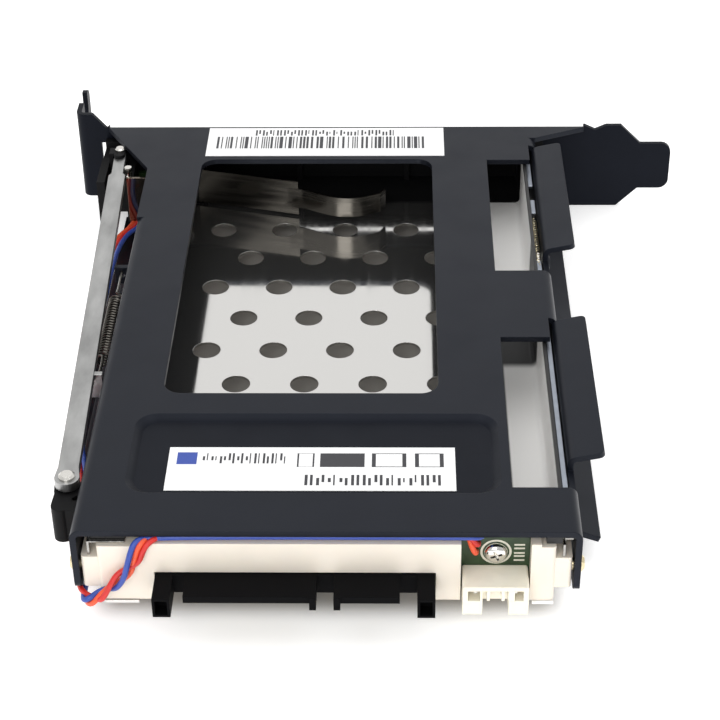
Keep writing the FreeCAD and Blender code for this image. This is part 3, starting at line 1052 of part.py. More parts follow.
def eject_lever():
    """Bell crank outside and inside the left wall: the bar turns it and its tip pushes the drive out."""
    pivot = (PIVOT_X, PIVOT_Y)
    rivet = (BAR_REAR[0], -BAR_REAR[1])
    z_range = (LEVER_TOP - LEVER_HEIGHT, LEVER_TOP)
    tip = (PIVOT_X + LEVER_TIP[0], PIVOT_Y + LEVER_TIP[1] - 1.0)
    heel = (rivet[0] - 0.5, rivet[1] - 4.6)
    corner = (PIVOT_X + 0.5, PIVOT_Y - 5.3)
    lever = link(pivot, rivet, LEVER_HUB, z_range)
    parts = [link(rivet, (rivet[0] + 0.1, rivet[1] - 1.0), LEVER_PAD, z_range),
             link((rivet[0] - 0.3, rivet[1] - 1.0), heel, LEVER_HUB, z_range),
             link(heel, (PIVOT_X - 1.0, PIVOT_Y - 3.6), LEVER_HUB * 0.8, z_range),
             link(pivot, corner, LEVER_TIP_RADIUS, z_range),
             link(corner, tip, LEVER_TIP_RADIUS, z_range)]
    lever = lever.multiFuse(parts).removeSplitter()
    lever = lever.cut(rod(V(pivot[0], pivot[1], z_range[0] - 1), Z_AXIS, PIN_RADIUS + FIT_GAP, LEVER_HEIGHT + 2))
    slot = link((rivet[0] - 0.15, rivet[1]), (rivet[0] + 0.15, rivet[1]), PIN_RADIUS + 0.2,
                (z_range[0] - 1, z_range[1] + 1))
    return lever.cut(slot)


def lever_pivot_pin():
    top = LEVER_TOP + SEAT_GAP + CAGE_GAUGE + 0.02
    bottom = LEVER_TOP - LEVER_HEIGHT - SEAT_GAP - CAGE_GAUGE - 0.2
    return headed_pin(PIVOT_X, PIVOT_Y, bottom, top, PIN_RADIUS, PIN_RADIUS + 0.25, 0.3)


def return_spring():
    """Closed coil, as a plain sleeve, between the wall's tab and the bar's tab, with a straight hook at each end."""
    wire = COIL_WIRE / 2
    coil = rod(V(COIL_X, -COIL_REAR, COIL_Z), Y_AXIS, COIL_RADIUS + wire, COIL_LENGTH)
    hooks = []
    for start, end in ((COIL_REAR, HOOK_REAR + HOOK_OVER), (COIL_FRONT, HOOK_FRONT - HOOK_TAB[1] - HOOK_OVER)):
        outward = math.copysign(wire, start - end)
        hooks.append(box((COIL_X - wire, COIL_X + wire), (-start, -end), (COIL_Z - wire, COIL_Z + wire)))
        hooks.append(box((COIL_X - wire, COIL_X + wire), (-end, -end + outward * 2), (COIL_Z - wire, COIL_Z + HOOK_RISE)))
    return coil.multiFuse(hooks)


# ---------------------------------------------------------------- status light and its lead
LED_BOARD_X = (LED_X - 0.9, LED_X + LED_BOARD[0] - 0.9)
LED_BOARD_Y = -FRAME_DEPTH - SEAT_GAP


def status_light():
    """Round lens with a flange behind the front frame."""
    lens = rod(V(LED_X, -FRAME_DEPTH, BRACKET_MIDDLE), Y_AXIS, LED_RADIUS, FRAME_DEPTH + FRAME_PROUD + 0.2)
    lens = lens.makeChamfer(0.3, edges_at(lens, lambda middle: middle.y > FRAME_PROUD))
    return lens.fuse(rod(V(LED_X, LED_BOARD_Y + 0.02, BRACKET_MIDDLE), Y_AXIS, LED_RADIUS - 0.3, SEAT_GAP))


def light_board():
    return box(LED_BOARD_X, (LED_BOARD_Y - LED_BOARD[1], LED_BOARD_Y),
               (BRACKET_MIDDLE - LED_BOARD[2] / 2, BRACKET_MIDDLE + LED_BOARD[2] / 2))


# Points of each strand, as (x, y, z): x from the left wall, y from the rear edge and z from the cover's top.
# They start on the circuit board, cross the block's top, hang down its rear face and end under the wall.
LEAD_AT_BLOCK = {
    "blue": [(61.3, 2.48, -2.1), (61.3, 1.95, -2.1), (60.5, 1.98, -1.9), (59.2, 2.68, -1.66), (11.6, 2.68, -1.66),
             (9.1, -0.1, -1.66), (8.6, -0.72, -2.7), (8.0, -0.58, -6.2), (7.0, -0.54, -9.6), (5.2, -0.54, -11.6),
             (2.9, -0.54, -12.2), (1.2, 1.8, -12.5)],
    "orange": [(60.4, 2.48, -5.8), (60.4, 1.75, -5.8), (59.7, 1.7, -4.4), (58.95, 1.7, -1.64), (13.2, 1.7, -1.66),
               (10.3, -0.2, -1.66), (9.7, -0.72, -2.7), (9.1, -0.66, -7.3), (7.6, -1.5, -9.0), (4.4, -1.5, -11.9),
               (2.3, -1.05, -13.3), (0.65, 2.0, -13.4)],
    "red": [(60.7, 2.48, -4.1), (60.7, 1.75, -4.1), (60.0, 0.85, -3.15), (58.9, 0.75, -1.64), (14.4, 0.75, -1.66),
            (12.0, -0.3, -1.66), (11.1, -0.78, -2.8), (10.6, -0.75, -5.2), (9.5, -1.62, -6.9), (7.1, -1.66, -7.7),
            (4.6, -1.5, -10.3), (1.6, -0.7, -11.95), (0.1, 1.8, -12.12)],
}
# Then they run forward under the wall and out to their lanes in the channel.
LEAD_UNDER_WALL = {"blue": (1.2, 8.0, -12.5), "orange": (0.65, 7.0, -13.4), "red": (0.1, 8.0, -12.12)}
LEAD_OUTSIDE_WALL = {"blue": (-0.95, 15.5, -12.4), "orange": (-2.76, 15.5, -13.0), "red": (-1.85, 15.5, -12.4)}
LEAD_IN_CHANNEL = {"blue": (-0.95, 23.5, -10.6), "orange": (-2.76, 23.5, -11.25), "red": (-1.85, 23.5, -10.95)}
LEAD_CHANNEL_FRONT = 34.0       # front end of the channel lanes, behind the bracket's face
LEAD_LOW = -12.2                # under the cage's front tab


def lead_route(strand):
    """Route of one strand, from the circuit board over the block and forward to the light."""
    from_rear = LEAD_AT_BLOCK[strand] + [LEAD_UNDER_WALL[strand], LEAD_OUTSIDE_WALL[strand], LEAD_IN_CHANNEL[strand]]
    points = [V(x - COVER_HALF, REAR_Y + y, z) for x, y, z in from_rear]
    lane_x, lane_z = points[-1].x, points[-1].z
    front_tab = -(GUIDE_END + SEAT_GAP)
    return points + [V(lane_x, -LEAD_CHANNEL_FRONT, lane_z), V(lane_x, front_tab, LEAD_LOW),
                     V(lane_x, LED_BOARD_Y - LED_BOARD[1] - 0.02, LEAD_LOW + 0.4)]


def lead(strand):
    return strand_along(lead_route(strand), LEAD_DIAMETER)


# ---------------------------------------------------------------- labels
def upper_label():
    """Label in front of the window."""
    width, depth = UPPER_LABEL
    left = UPPER_LABEL_BAND - COVER_HALF
    return box((left, left + width), (-UPPER_LABEL_FRONT, -UPPER_LABEL_FRONT - depth), (0.01, 0.01 + LABEL_THICKNESS))


def lower_label():
    """Label on the floor of the recess."""
    width, depth = LOWER_LABEL
    left, front = RECESS_X[0] + LOWER_LABEL_INSET[0], -RECESS_Y[0] - LOWER_LABEL_INSET[1]
    floor = -RECESS_DEPTH + 0.01
    return box((left, left + width), (front, front - depth), (floor, floor + LABEL_THICKNESS))


# ---------------------------------------------------------------- the whole part
PIECES = {
    "mounting_frame": mounting_frame,
    "inner_cage": inner_cage,
    "connector_block": connector_block,
    "circuit_board": circuit_board,
    "sata_plug": sata_plug,
    "plug_contacts": plug_contacts,
    "drive_receptacle": drive_receptacle,
    "receptacle_contacts": receptacle_contacts,
    "power_header": power_header,
    "header_pins": header_pins,
    "board_screw": board_screw,
    "side_screws": side_screws,
    "cage_screws": cage_screws,
    "cage_spacers": cage_spacers,
    "front_frame": front_frame,
    "door": door,
    "door_spring": door_spring,
    "spring_rivets": spring_rivets,
    "door_hinge_pin": door_hinge_pin,
    "eject_button": eject_button,
    "button_stop_pin": button_stop_pin,
    "bar_guide_pin": bar_guide_pin,
    "eject_bar": eject_bar,
    "bar_front_pin": bar_front_pin,
    "bar_rivet": bar_rivet,
    "eject_lever": eject_lever,
    "lever_pivot_pin": lever_pivot_pin,
    "return_spring": return_spring,
    "status_light": status_light,
    "light_board": light_board,
    "lead_blue": lambda: lead("blue"),
    "lead_orange": lambda: lead("orange"),
    "lead_red": lambda: lead("red"),
    "upper_label": upper_label,
    "lower_label": lower_label,
}


def main():
    os.makedirs("parts", exist_ok=True)
    shapes = {name: make() for name, make in PIECES.items()}
    around = Part.makeCompound(list(shapes.values())).BoundBox
    origin = V((around.XMin + around.XMax) / 2, (around.YMin + around.YMax) / 2, around.ZMin)
    for name, shape in shapes.items():
        shape.translate(origin * -1)
        shape.exportStep("parts/%s.step" % name)
    print("size %.2f x %.2f x %.2f mm" % (around.XLength, around.YLength, around.ZLength))
    print("origin in the cover's own frame: %.4f %.4f %.4f" % (origin.x, origin.y, origin.z))


main()
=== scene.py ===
"""Looks of a hot swap drive cage, built around its packed frame as a Blender add-on."""

import math
import random

import bmesh
import bpy
from mathutils import Matrix, Vector


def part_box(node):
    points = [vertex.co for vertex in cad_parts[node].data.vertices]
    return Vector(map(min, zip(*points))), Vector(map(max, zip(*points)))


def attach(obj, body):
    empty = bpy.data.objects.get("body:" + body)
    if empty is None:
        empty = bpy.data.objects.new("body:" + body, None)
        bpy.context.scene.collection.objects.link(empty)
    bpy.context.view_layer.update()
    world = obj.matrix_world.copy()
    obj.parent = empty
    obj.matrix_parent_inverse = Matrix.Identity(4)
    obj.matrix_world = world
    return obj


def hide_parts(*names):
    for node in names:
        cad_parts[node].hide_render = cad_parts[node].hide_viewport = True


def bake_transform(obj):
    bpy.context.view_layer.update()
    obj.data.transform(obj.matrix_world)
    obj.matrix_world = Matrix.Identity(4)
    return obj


bl_info = {
    "name": "Hot swap drive cage",
    "version": (1, 0, 0),
    "blender": (4, 5, 0),
    "location": "3D View > Sidebar > Drive Cage",
    "description": "Finishes, prints and studio for a hot swap drive cage",
    "category": "Object",
}

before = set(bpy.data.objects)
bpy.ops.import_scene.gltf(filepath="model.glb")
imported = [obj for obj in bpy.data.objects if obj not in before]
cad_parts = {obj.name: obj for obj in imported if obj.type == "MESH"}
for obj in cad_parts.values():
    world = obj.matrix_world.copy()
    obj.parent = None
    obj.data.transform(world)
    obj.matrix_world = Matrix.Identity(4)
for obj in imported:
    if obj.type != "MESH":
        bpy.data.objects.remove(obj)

MM = 0.001
COVER_HALF = 38.0 * MM
COVER_LENGTH = 126.7 * MM
COVER_MIDDLE = -5.89 * MM
REAR_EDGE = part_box("connector_block")[0].y
FRONT_EDGE = REAR_EDGE + COVER_LENGTH
TOP = 18.42 * MM
STRAND_RADIUS = 0.45 * MM

# The soft lights: the length of their sides and where they stand, in metres.
KEY_LIGHT = (0.9, (0.0, 0.1, 0.9))
FRONT_LIGHT = (0.5, (-0.15, -0.75, 0.45))

# From here on places and lengths are millimetres in the cover's own frame, which at() reads: x from the
# cover's middle line, y from the bracket's face and z from its top. A fade says where a soft change of finish
# starts and ends, a shade where painted shade does, and a reflection where a painted reflection does.
BRACKET_FADE = (-1.7, -1.3)
# The recess gets less sheen inside it, which is painted shade.
RECESS_SHADE = (("X", -32.0, -31.0), ("X", 26.0, 25.0), ("Y", -84.0, -85.0), ("Z", -0.3, -1.0))
LEDGE_FADE = (27.2, 27.8)
BRIDGE_SHADE = (("Y", -66.5, -64.5), ("Y", -40.0, -42.0))
LEDGE_GAP_SHADE = (("X", 29.6, 29.2), ("Y", -64.0, -65.0))
LEDGE_BRIM_SHADE = (("X", 34.8, 35.1), ("Z", -2.5, -2.1))
# The tab beside the eject bar gets a darker base colour here, which is a painted dark reflection.
TAB_REFLECTION = (-35.6, -35.9)

# The lead: each strand's x and z, how far left of that x it lies at its stops, y of the stops, and y and z of
# its last two points, which are back at its x.
LANES = {"blue": (-38.95, -10.6), "orange": (-40.76, -11.25), "red": (-39.85, -10.95)}
LANE_SHIFT = 4.4
LANE_STOPS = (-86.0, -48.0, -27.0)
LANE_ENDS = ((-18.1, -12.2), (-9.32, -11.8))

# The return spring: x and z of its axis, y of the coil's ends and of the hooks. Each end of the wire starts
# HOOK_START past the coil, bends HOOK_LEAD past it at a share of its rise, and ends at the hook.
COIL_AXIS = (-39.75, -5.6)
COIL_ENDS = (-56.0, -75.0)
COIL_HOOKS = (-46.95, -84.05)
COIL_RADIUS = 1.25
COIL_WIRE = 0.45
COIL_TURNS = 24
TURN_STEPS = 12
COIL_SIDES = 6
HOOK_RISE = 1.0
HOOK_START = 0.4
HOOK_LEAD = 2.0
HOOK_BEND = 0.9

# The eject bar: x and y of its front pin and its rivet, and half widths of the bar, its nose and its tail.
# The neck is measured from the pin and the shoulder from the rivet. The tab is given by its lowest and
# highest corners, and so are the pads, the clips and the floors below.
BAR_FRONT = (-44.45, -9.1)
BAR_REAR = (-40.4, -112.0)
BAR_TOP = -1.5
BAR_THICKNESS = 1.5
BAR_HALF = 1.6
BAR_NOSE = 1.1
BAR_NECK = (8.2, 9.0)
BAR_TAIL = 1.95
BAR_SHOULDER = 2.5
BAR_TAB = ((-41.4, -84.5, -6.55), (-38.5, -83.5, -1.8))
TAB_EDGE = 0.1
NOSE_STEPS = 10
TAIL_STEPS = 14

CORNER_REAR = -126.5
CORNER_PADS = {
    "pad_left": ((-35.1, CORNER_REAR + 1.2, -2.6), (-29.8, CORNER_REAR + 4.2, -1.05)),
    "pad_right": ((32.7, CORNER_REAR + 0.4, -2.7), (35.1, CORNER_REAR + 4.2, -1.05)),
}
CORNER_CLIPS = {
    "clip_left_top": ((-35.7, CORNER_REAR + 0.6, -2.9), (-29.9, CORNER_REAR + 4.0, -2.6)),
    "clip_left_leg": ((-35.7, CORNER_REAR + 0.6, -5.3), (-35.3, CORNER_REAR + 4.0, -2.7)),
    "clip_right_leg": ((35.2, CORNER_REAR + 0.3, -5.5), (35.6, CORNER_REAR + 4.0, -2.8)),
    "clip_right_top": ((35.4, CORNER_REAR + 1.5, -2.9), (36.9, CORNER_REAR + 4.0, -2.5)),
}
CORNER_EDGE = 0.1

CHANNEL_FLOORS = {
    "channel_floor": ((-44.0, -100.0, -14.9), (-38.1, -12.0, -14.5)),
    "side_floor": ((34.0, -112.0, -14.9), (37.2, -12.0, -14.5)),
}
FLOOR_EDGE = 0.12

# The plates in the gap beside the right wing: y of the rear end, y of the front end and z of the top.
LATCH_PLATES = {
    "side_rail": (-121.0, -64.0, -2.0),
    "latch_foot": (-50.8, -47.7, -2.6),
    "latch_plate": (-31.5, -26.6, -2.2),
    "latch_clip": (-21.0, -12.0, -2.4),
}
# They share the x of their sides. The coil's axis is x and z.
LATCH_SIDES = (35.85, 36.75)
LATCH_THICKNESS = 0.6
LATCH_COIL_AXIS = (36.3, -2.9)
LATCH_COIL_ENDS = (-49.0, -33.0)
LATCH_COIL_RADIUS = 0.38
LATCH_COIL_TURNS = 20
LATCH_TURN_STEPS = 10
LATCH_WIRE = 0.18
LATCH_COIL_SIDES = 5

# The board's screw: x and z of its axis, radius and height of the head, radius and length of the shank, and
# angles and roundness of the head's profile. The recess has its arms' reach, half width and depth, a turn, a
# foot and a mouth that are shares of its outline, and a cutter that reaches RECESS_CLEAR past the head.
BOARD_FACE = -124.2
BOARD_SCREW = (25.4, -5.9)
SCREW_HEAD = (1.8, 1.1)
SCREW_SHANK = (0.9, 2.4)
SCREW_ANGLES = [math.radians(degrees) for degrees in (0, 14, 28, 42, 56, 70, 82)]
SCREW_ROUNDNESS = 0.55
SCREW_SIDES = 36
SCREW_RECESS = (1.0, 0.20, 0.7)
RECESS_TURN = math.radians(20)
RECESS_FOOT = 0.55
RECESS_MOUTH = 1.08
RECESS_CLEAR = 0.2

# The board's print: the ring's radii, x of the bars' ends and z of their feet.
RING_RADII = (2.35, 2.0)
RING_SIDES = 40
RING_LIFT = 0.02
BOARD_BARS = (28.1, 29.7)
BOARD_BAR_LEVELS = (-7.7, -6.9, -6.3, -5.4, -4.7)
BOARD_BAR_HEIGHT = 0.32

# The power header's ribs: y of their rear end, z of their feet and tops, and their sides' x from HEADER_LEFT.
HEADER_LEFT = 20.35
HEADER_REAR = -129.3
HEADER_MOUTH = (-11.2, -9.3)
HEADER_RIBS = ((2.6, 3.0), (3.6, 4.1), (5.8, 6.3), (6.8, 7.8))
RIB_DEPTH = 2.4
RIB_EDGE = 0.06


def at(x, y, z):
    """A place in the frame of the part from millimetres in the cover's own: x from its middle line, y from
    the bracket's face and z from its top."""
    return Vector((COVER_MIDDLE + x * MM, FRONT_EDGE + y * MM, TOP + z * MM))


def at_rear(x, y, z):
    """A place from millimetres: x from the outside of the left wall, y from the rear edge, z from the top."""
    return Vector((COVER_MIDDLE - COVER_HALF + x * MM, REAR_EDGE + y * MM, TOP + z * MM))


# Each strand's route at the rear, as at_rear() reads it: off the board and along the top of the block, down
# past the block's left end, and under the cover's left wall into the channel beside the eject bar.
REAR_ROUTES = {
    "blue": [
        (61.3, 2.48, -2.1), (61.3, 1.5, -2.1), (60.5, 1.0, -1.9), (59.2, 0.85, -1.66), (11.6, 0.85, -1.66),
        (9.9, -0.3, -1.66), (9.2, -0.9, -2.9), (8.5, -1.7, -5.4), (7.9, -2.0, -7.6), (6.6, -1.5, -9.9),
        (5.3, -0.6, -10.7), (3.8, -0.5, -11.2), (2.2, -1.8, -11.8), (1.2, -1.3, -12.4), (1.2, 1.8, -12.6),
        (1.2, 8.0, -12.5), (-0.95, 15.5, -12.4), (-0.95, 23.5, -10.6),
    ],
    "orange": [
        (60.4, 2.48, -5.8), (60.4, 1.75, -5.8), (59.7, 1.9, -4.4), (58.95, 2.75, -1.64),
        (13.2, 2.75, -1.66), (10.9, -0.3, -1.66), (10.1, -0.75, -2.9), (9.4, -0.7, -5.2),
        (8.9, -0.65, -7.5), (7.4, -0.75, -8.9), (5.6, -1.0, -9.8), (4.2, -1.4, -11.0), (2.9, -1.95, -12.5),
        (1.9, -1.2, -13.3), (0.65, 2.0, -13.4), (0.65, 7.0, -13.4), (-2.76, 15.5, -13.0),
        (-2.76, 23.5, -11.25),
    ],
    "red": [
        (60.7, 2.48, -4.1), (60.7, 1.75, -4.1), (60.0, 1.6, -3.15), (58.9, 1.8, -1.64), (14.4, 1.8, -1.66),
        (12.0, -0.3, -1.66), (11.0, -0.8, -2.9), (10.3, -0.75, -5.2), (8.8, -0.7, -6.4), (6.9, -1.0, -7.3),
        (5.8, -1.8, -8.8), (5.0, -2.1, -10.4), (4.2, -2.3, -11.6), (3.2, -0.9, -12.3), (1.6, -0.55, -12.0),
        (0.1, 1.8, -12.12), (0.1, 8.0, -12.12), (-1.85, 15.5, -12.4), (-1.85, 23.5, -10.95),
    ],
}


# ---------------------------------------------------------------- settings
class DriveCageColours(bpy.types.PropertyGroup):
    """Base colours of the finishes."""

    def colour(name, description, default):
        return bpy.props.FloatVectorProperty(
            name=name, description=description, default=default, size=3, min=0.0, max=1.0, subtype="COLOR")

    paint: colour("Paint", "Powder coat of the cover, bracket and floors", (0.0048, 0.0056, 0.0088))
    cage: colour("Cage", "Polished sheet of the inner cage", (0.72, 0.71, 0.69))
    ledge: colour("Ledge", "Brushed ledge of the inner cage", (0.97, 0.96, 0.94))
    shade: colour("Shade", "Stretches of the inner cage that lie in deep shade", (0.012, 0.012, 0.013))
    # The tab colour is a painted dark reflection on the inner cage beside the eject bar, not a tint of the
    # sheet.
    tab: colour("Tab", "Tinted tab of the inner cage beside the eject bar", (0.17, 0.14, 0.11))
    clip: colour("Clip", "Plating of the clips at the rear corners", (0.40, 0.39, 0.37))
    rail: colour("Rail", "Plating of the rail and the latch beside the right wing", (0.34, 0.37, 0.42))
    rubber: colour("Rubber", "Pads at the rear corners", (0.006, 0.006, 0.007))
    silk: colour("Silk", "Print on the circuit board", (0.62, 0.60, 0.50))
    ivory: colour("Ivory", "Moulded block at the rear", (0.83, 0.76, 0.66))
    black: colour("Black", "Moulded black plastic", (0.0045, 0.0045, 0.0050))
    board: colour("Board", "Solder resist of the circuit boards", (0.016, 0.042, 0.012))
    nylon: colour("Nylon", "Natural nylon of the power header", (0.90, 0.85, 0.72))
    zinc: colour("Zinc", "Plated steel of the eject bar", (0.38, 0.38, 0.375))
    nickel: colour("Nickel", "Plating of the board's screw, pins, rivets and spacers", (0.74, 0.72, 0.68))
    brass: colour("Brass", "Plating of the side screws and the latch spring", (0.72, 0.62, 0.40))
    gold: colour("Gold", "Plating of the contacts", (0.83, 0.62, 0.26))
    leaf: colour("Leaf", "Spring steel of the door's and the bar's springs", (0.105, 0.098, 0.087))
    blue: colour("Blue", "Insulation of the first strand and square on the lower label", (0.030, 0.070, 0.36))
    orange: colour("Orange", "Insulation of the second strand", (0.80, 0.10, 0.035))
    red: colour("Red", "Insulation of the third strand", (0.62, 0.025, 0.020))
    lens: colour("Lens", "Clear plastic of the status light", (0.80, 0.84, 0.90))
    label: colour("Label", "Film of the two labels", (0.90, 0.90, 0.90))
    ink: colour("Ink", "Print on the labels", (0.030, 0.030, 0.036))
    floor: colour("Floor", "Floor around the part", (0.92, 0.92, 0.92))
    under: colour("Under", "Floor in the shade under the part", (0.60, 0.575, 0.54))


class DriveCageDetail(bpy.types.PropertyGroup):
    """Sizes of the fine detail."""

    def length(name, description, default):
        return bpy.props.FloatProperty(name=name, description=description, default=default,
                                       min=0.0, subtype="DISTANCE", unit="LENGTH")

    paint_grain: length("Paint grain", "Size of the grain of the powder coat", 0.35 * MM)
    paint_relief: length("Paint relief", "Height of the grain of the powder coat", 0.006 * MM)
    paint_edge: length("Paint edge", "Radius that the coat gives to sheared edges", 0.22 * MM)
    floor_fall: length("Floor fall", "How far the cage's floor seems to fall towards the front", 5.0 * MM)
    sheet_edge: length("Sheet edge", "Radius of the edges of polished sheet", 0.08 * MM)
    mould_edge: length("Mould edge", "Radius of the edges of moulded pieces", 0.15 * MM)
    print_height: length("Print height", "Thickness of print on the labels and the board", 0.012 * MM)


class DriveCageStage(bpy.types.PropertyGroup):
    """Camera, lights and floor."""

    camera_place: bpy.props.FloatVectorProperty(
        name="Camera place", description="Where the camera stands, in the frame of the part",
        default=(0.00471, -0.27902, 0.19932), size=3, subtype="TRANSLATION", unit="LENGTH")
    camera_fall: bpy.props.FloatProperty(
        name="Camera fall", description="Angle of the view below level", default=math.radians(35.15),
        subtype="ANGLE", unit="ROTATION")
    camera_turn: bpy.props.FloatProperty(
        name="Camera turn", description="Angle of the view from +Y towards +X", default=math.radians(-1.38),
        subtype="ANGLE", unit="ROTATION")
    camera_roll: bpy.props.FloatProperty(
        name="Camera roll", description="Clockwise roll of the camera", default=math.radians(-0.76),
        subtype="ANGLE", unit="ROTATION")
    lens: bpy.props.FloatProperty(name="Lens", description="Focal length for a 36 mm sensor", default=94.6,
                                  min=1.0, subtype="DISTANCE_CAMERA", unit="CAMERA")
    world_light: bpy.props.FloatVectorProperty(
        name="World light",
        description="Strength of the white surroundings on the camera's side and on the far side",
        default=(0.55, 1.0), size=2, min=0.0)
    key_power: bpy.props.FloatProperty(name="Key power", description="Power of the overhead soft light",
                                       default=3.0, min=0.0, subtype="POWER", unit="POWER")
    front_power: bpy.props.FloatProperty(
        name="Front power", description="Power of the soft light on the camera's side", default=3.0, min=0.0,
        subtype="POWER", unit="POWER")
    floor_glow: bpy.props.FloatProperty(
        name="Floor glow", description="Light that the floor gives off itself", default=0.42, min=0.0)
    shade_edge: bpy.props.FloatProperty(
        name="Shade edge", description="Soft edge of the shade under the part", default=6.0 * MM, min=0.0,
        subtype="DISTANCE", unit="LENGTH")
    floor_size: bpy.props.FloatProperty(name="Floor size", description="Side of the square floor",
                                        default=4.0, min=0.1, subtype="DISTANCE", unit="LENGTH")


GROUPS = {"drive_cage_colours": DriveCageColours, "drive_cage_detail": DriveCageDetail,
          "drive_cage_stage": DriveCageStage}


# ---------------------------------------------------------------- finishes
NOISE_MIDDLE = (0.3, 0.7)


class Finish:
    """A node-based material, built up one effect at a time."""

    def __init__(self, name, colour, roughness, metallic=0.0):
        self.material = bpy.data.materials.new(name)
        self.material.use_nodes = True
        self.nodes = self.material.node_tree.nodes
        self.links = self.material.node_tree.links
        self.shader = self.nodes["Principled BSDF"]
        self.colour = (*colour, 1.0)
        self.shader.inputs["Base Color"].default_value = self.colour
        self.shader.inputs["Roughness"].default_value = roughness
        self.shader.inputs["Metallic"].default_value = metallic
        self.place = self.nodes.new("ShaderNodeTexCoord").outputs["Object"]
        self.normal = None

    def noise(self, size, detail=3.0, stretch=(1.0, 1.0, 1.0)):
        """Noise of a feature size in metres, longer along the axes with a small stretch value."""
        mapping = self.nodes.new("ShaderNodeMapping")
        mapping.inputs["Scale"].default_value = stretch
        noise = self.nodes.new("ShaderNodeTexNoise")
        noise.inputs["Scale"].default_value = 1.0 / size
        noise.inputs["Detail"].default_value = detail
        self.links.new(self.place, mapping.inputs["Vector"])
        self.links.new(mapping.outputs["Vector"], noise.inputs["Vector"])
        return noise.outputs["Fac"]

    def spread(self, value, low, high):
        """The middle of a noise spread over a range."""
        ranged = self.nodes.new("ShaderNodeMapRange")
        ranged.inputs["From Min"].default_value = NOISE_MIDDLE[0]
        ranged.inputs["From Max"].default_value = NOISE_MIDDLE[1]
        ranged.inputs["To Min"].default_value = low
        ranged.inputs["To Max"].default_value = high
        self.links.new(value, ranged.inputs["Value"])
        return ranged.outputs["Result"]

    def vary(self, socket, value, low, high):
        """A socket that follows a noise over a range."""
        self.links.new(self.spread(value, low, high), self.shader.inputs[socket])
        return self

    def mottle(self, value, amount):
        """Colour that is darker and lighter by a share."""
        scale = self.nodes.new("ShaderNodeVectorMath")
        scale.operation = "SCALE"
        scale.inputs[0].default_value = self.colour[:3]
        self.links.new(self.spread(value, 1.0 - amount, 1.0 + amount), scale.inputs["Scale"])
        self.links.new(scale.outputs["Vector"], self.shader.inputs["Base Color"])
        return self

    def zone(self, axis, start, end, rise="SMOOTHSTEP"):
        """0 before a place along an axis, 1 past another, and a rise between them."""
        split = self.nodes.new("ShaderNodeSeparateXYZ")
        ranged = self.nodes.new("ShaderNodeMapRange")
        ranged.interpolation_type = rise
        forward = start < end
        ranged.inputs["From Min"].default_value = min(start, end)
        ranged.inputs["From Max"].default_value = max(start, end)
        ranged.inputs["To Min"].default_value = 0.0 if forward else 1.0
        ranged.inputs["To Max"].default_value = 1.0 if forward else 0.0
        self.links.new(self.place, split.inputs["Vector"])
        self.links.new(split.outputs[axis], ranged.inputs["Value"])
        return ranged.outputs["Result"]

    def both(self, first, second):
        """The product of two zones."""
        product = self.nodes.new("ShaderNodeMath")
        product.operation = "MULTIPLY"
        self.links.new(first, product.inputs[0])
        self.links.new(second, product.inputs[1])
        return product.outputs["Value"]

    def every(self, spans):
        """The product of zones, each from an axis and the millimetres where it starts and ends."""
        product = None
        for axis, start, end in spans:
            index = "XYZ".index(axis)
            zone = self.zone(axis, at(start, start, start)[index], at(end, end, end)[index])
            product = zone if product is None else self.both(product, zone)
        return product

    def now(self, socket):
        """What feeds a socket of the shader, or the value that it holds."""
        links = self.shader.inputs[socket].links
        return links[0].from_socket if links else self.shader.inputs[socket].default_value

    def feed(self, value, socket):
        """Links or sets a socket, as the value allows."""
        if isinstance(value, bpy.types.NodeSocket):
            self.links.new(value, socket)
        else:
            socket.default_value = value

    def blend(self, socket, zone, outside, inside):
        """One value of a socket outside a zone and another inside it."""
        mix = self.nodes.new("ShaderNodeMix")
        self.links.new(zone, mix.inputs["Factor"])
        self.feed(outside, mix.inputs["A"])
        self.feed(inside, mix.inputs["B"])
        self.links.new(mix.outputs["Result"], self.shader.inputs[socket])
        return self

    def blend_colour(self, zone, inside):
        """Another base colour inside a zone."""
        mix = self.nodes.new("ShaderNodeMix")
        mix.data_type = "RGBA"
        factor, first, second = (mix.inputs[index] for index in (0, 6, 7))
        self.links.new(zone, factor)
        self.feed(self.now("Base Color"), first)
        second.default_value = (*inside, 1.0)
        self.links.new(mix.outputs[2], self.shader.inputs["Base Color"])
        return self

    def round_edges(self, radius):
        """Edges that catch the light as if rounded."""
        bevel = self.nodes.new("ShaderNodeBevel")
        bevel.samples = 4
        bevel.inputs["Radius"].default_value = radius
        self.normal = bevel.outputs["Normal"]
        self.links.new(self.normal, self.shader.inputs["Normal"])
        return self

    def relief(self, value, height):
        """A raised surface over what came before."""
        bump = self.nodes.new("ShaderNodeBump")
        bump.inputs["Distance"].default_value = height
        self.links.new(value, bump.inputs["Height"])
        if self.normal:
            self.links.new(self.normal, bump.inputs["Normal"])
        self.normal = bump.outputs["Normal"]
        self.links.new(self.normal, self.shader.inputs["Normal"])
        return self

    def set(self, **values):
        """Plain values of the shader's sockets."""
        for name, value in values.items():
            self.shader.inputs[name.replace("_", " ")].default_value = value
        return self


def paint(nodes, finish):
    """Gives CAD nodes a finish."""
    for name in nodes:
        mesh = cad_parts[name].data
        mesh.materials.clear()
        mesh.materials.append(finish.material)


def add_mesh(name, vertices, faces, material):
    """A mesh object of one material in the frame of the part."""
    mesh = bpy.data.meshes.new(name)
    mesh.from_pydata(vertices, [], faces)
    mesh.validate()
    mesh.materials.append(material)
    piece = bpy.data.objects.new(name, mesh)
    bpy.context.scene.collection.objects.link(piece)
    return piece


def add_piece(name, vertices, faces, body, material):
    """A mesh object that rides on a body."""
    piece = add_mesh(name, vertices, faces, material)
    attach(piece, body)
    return piece


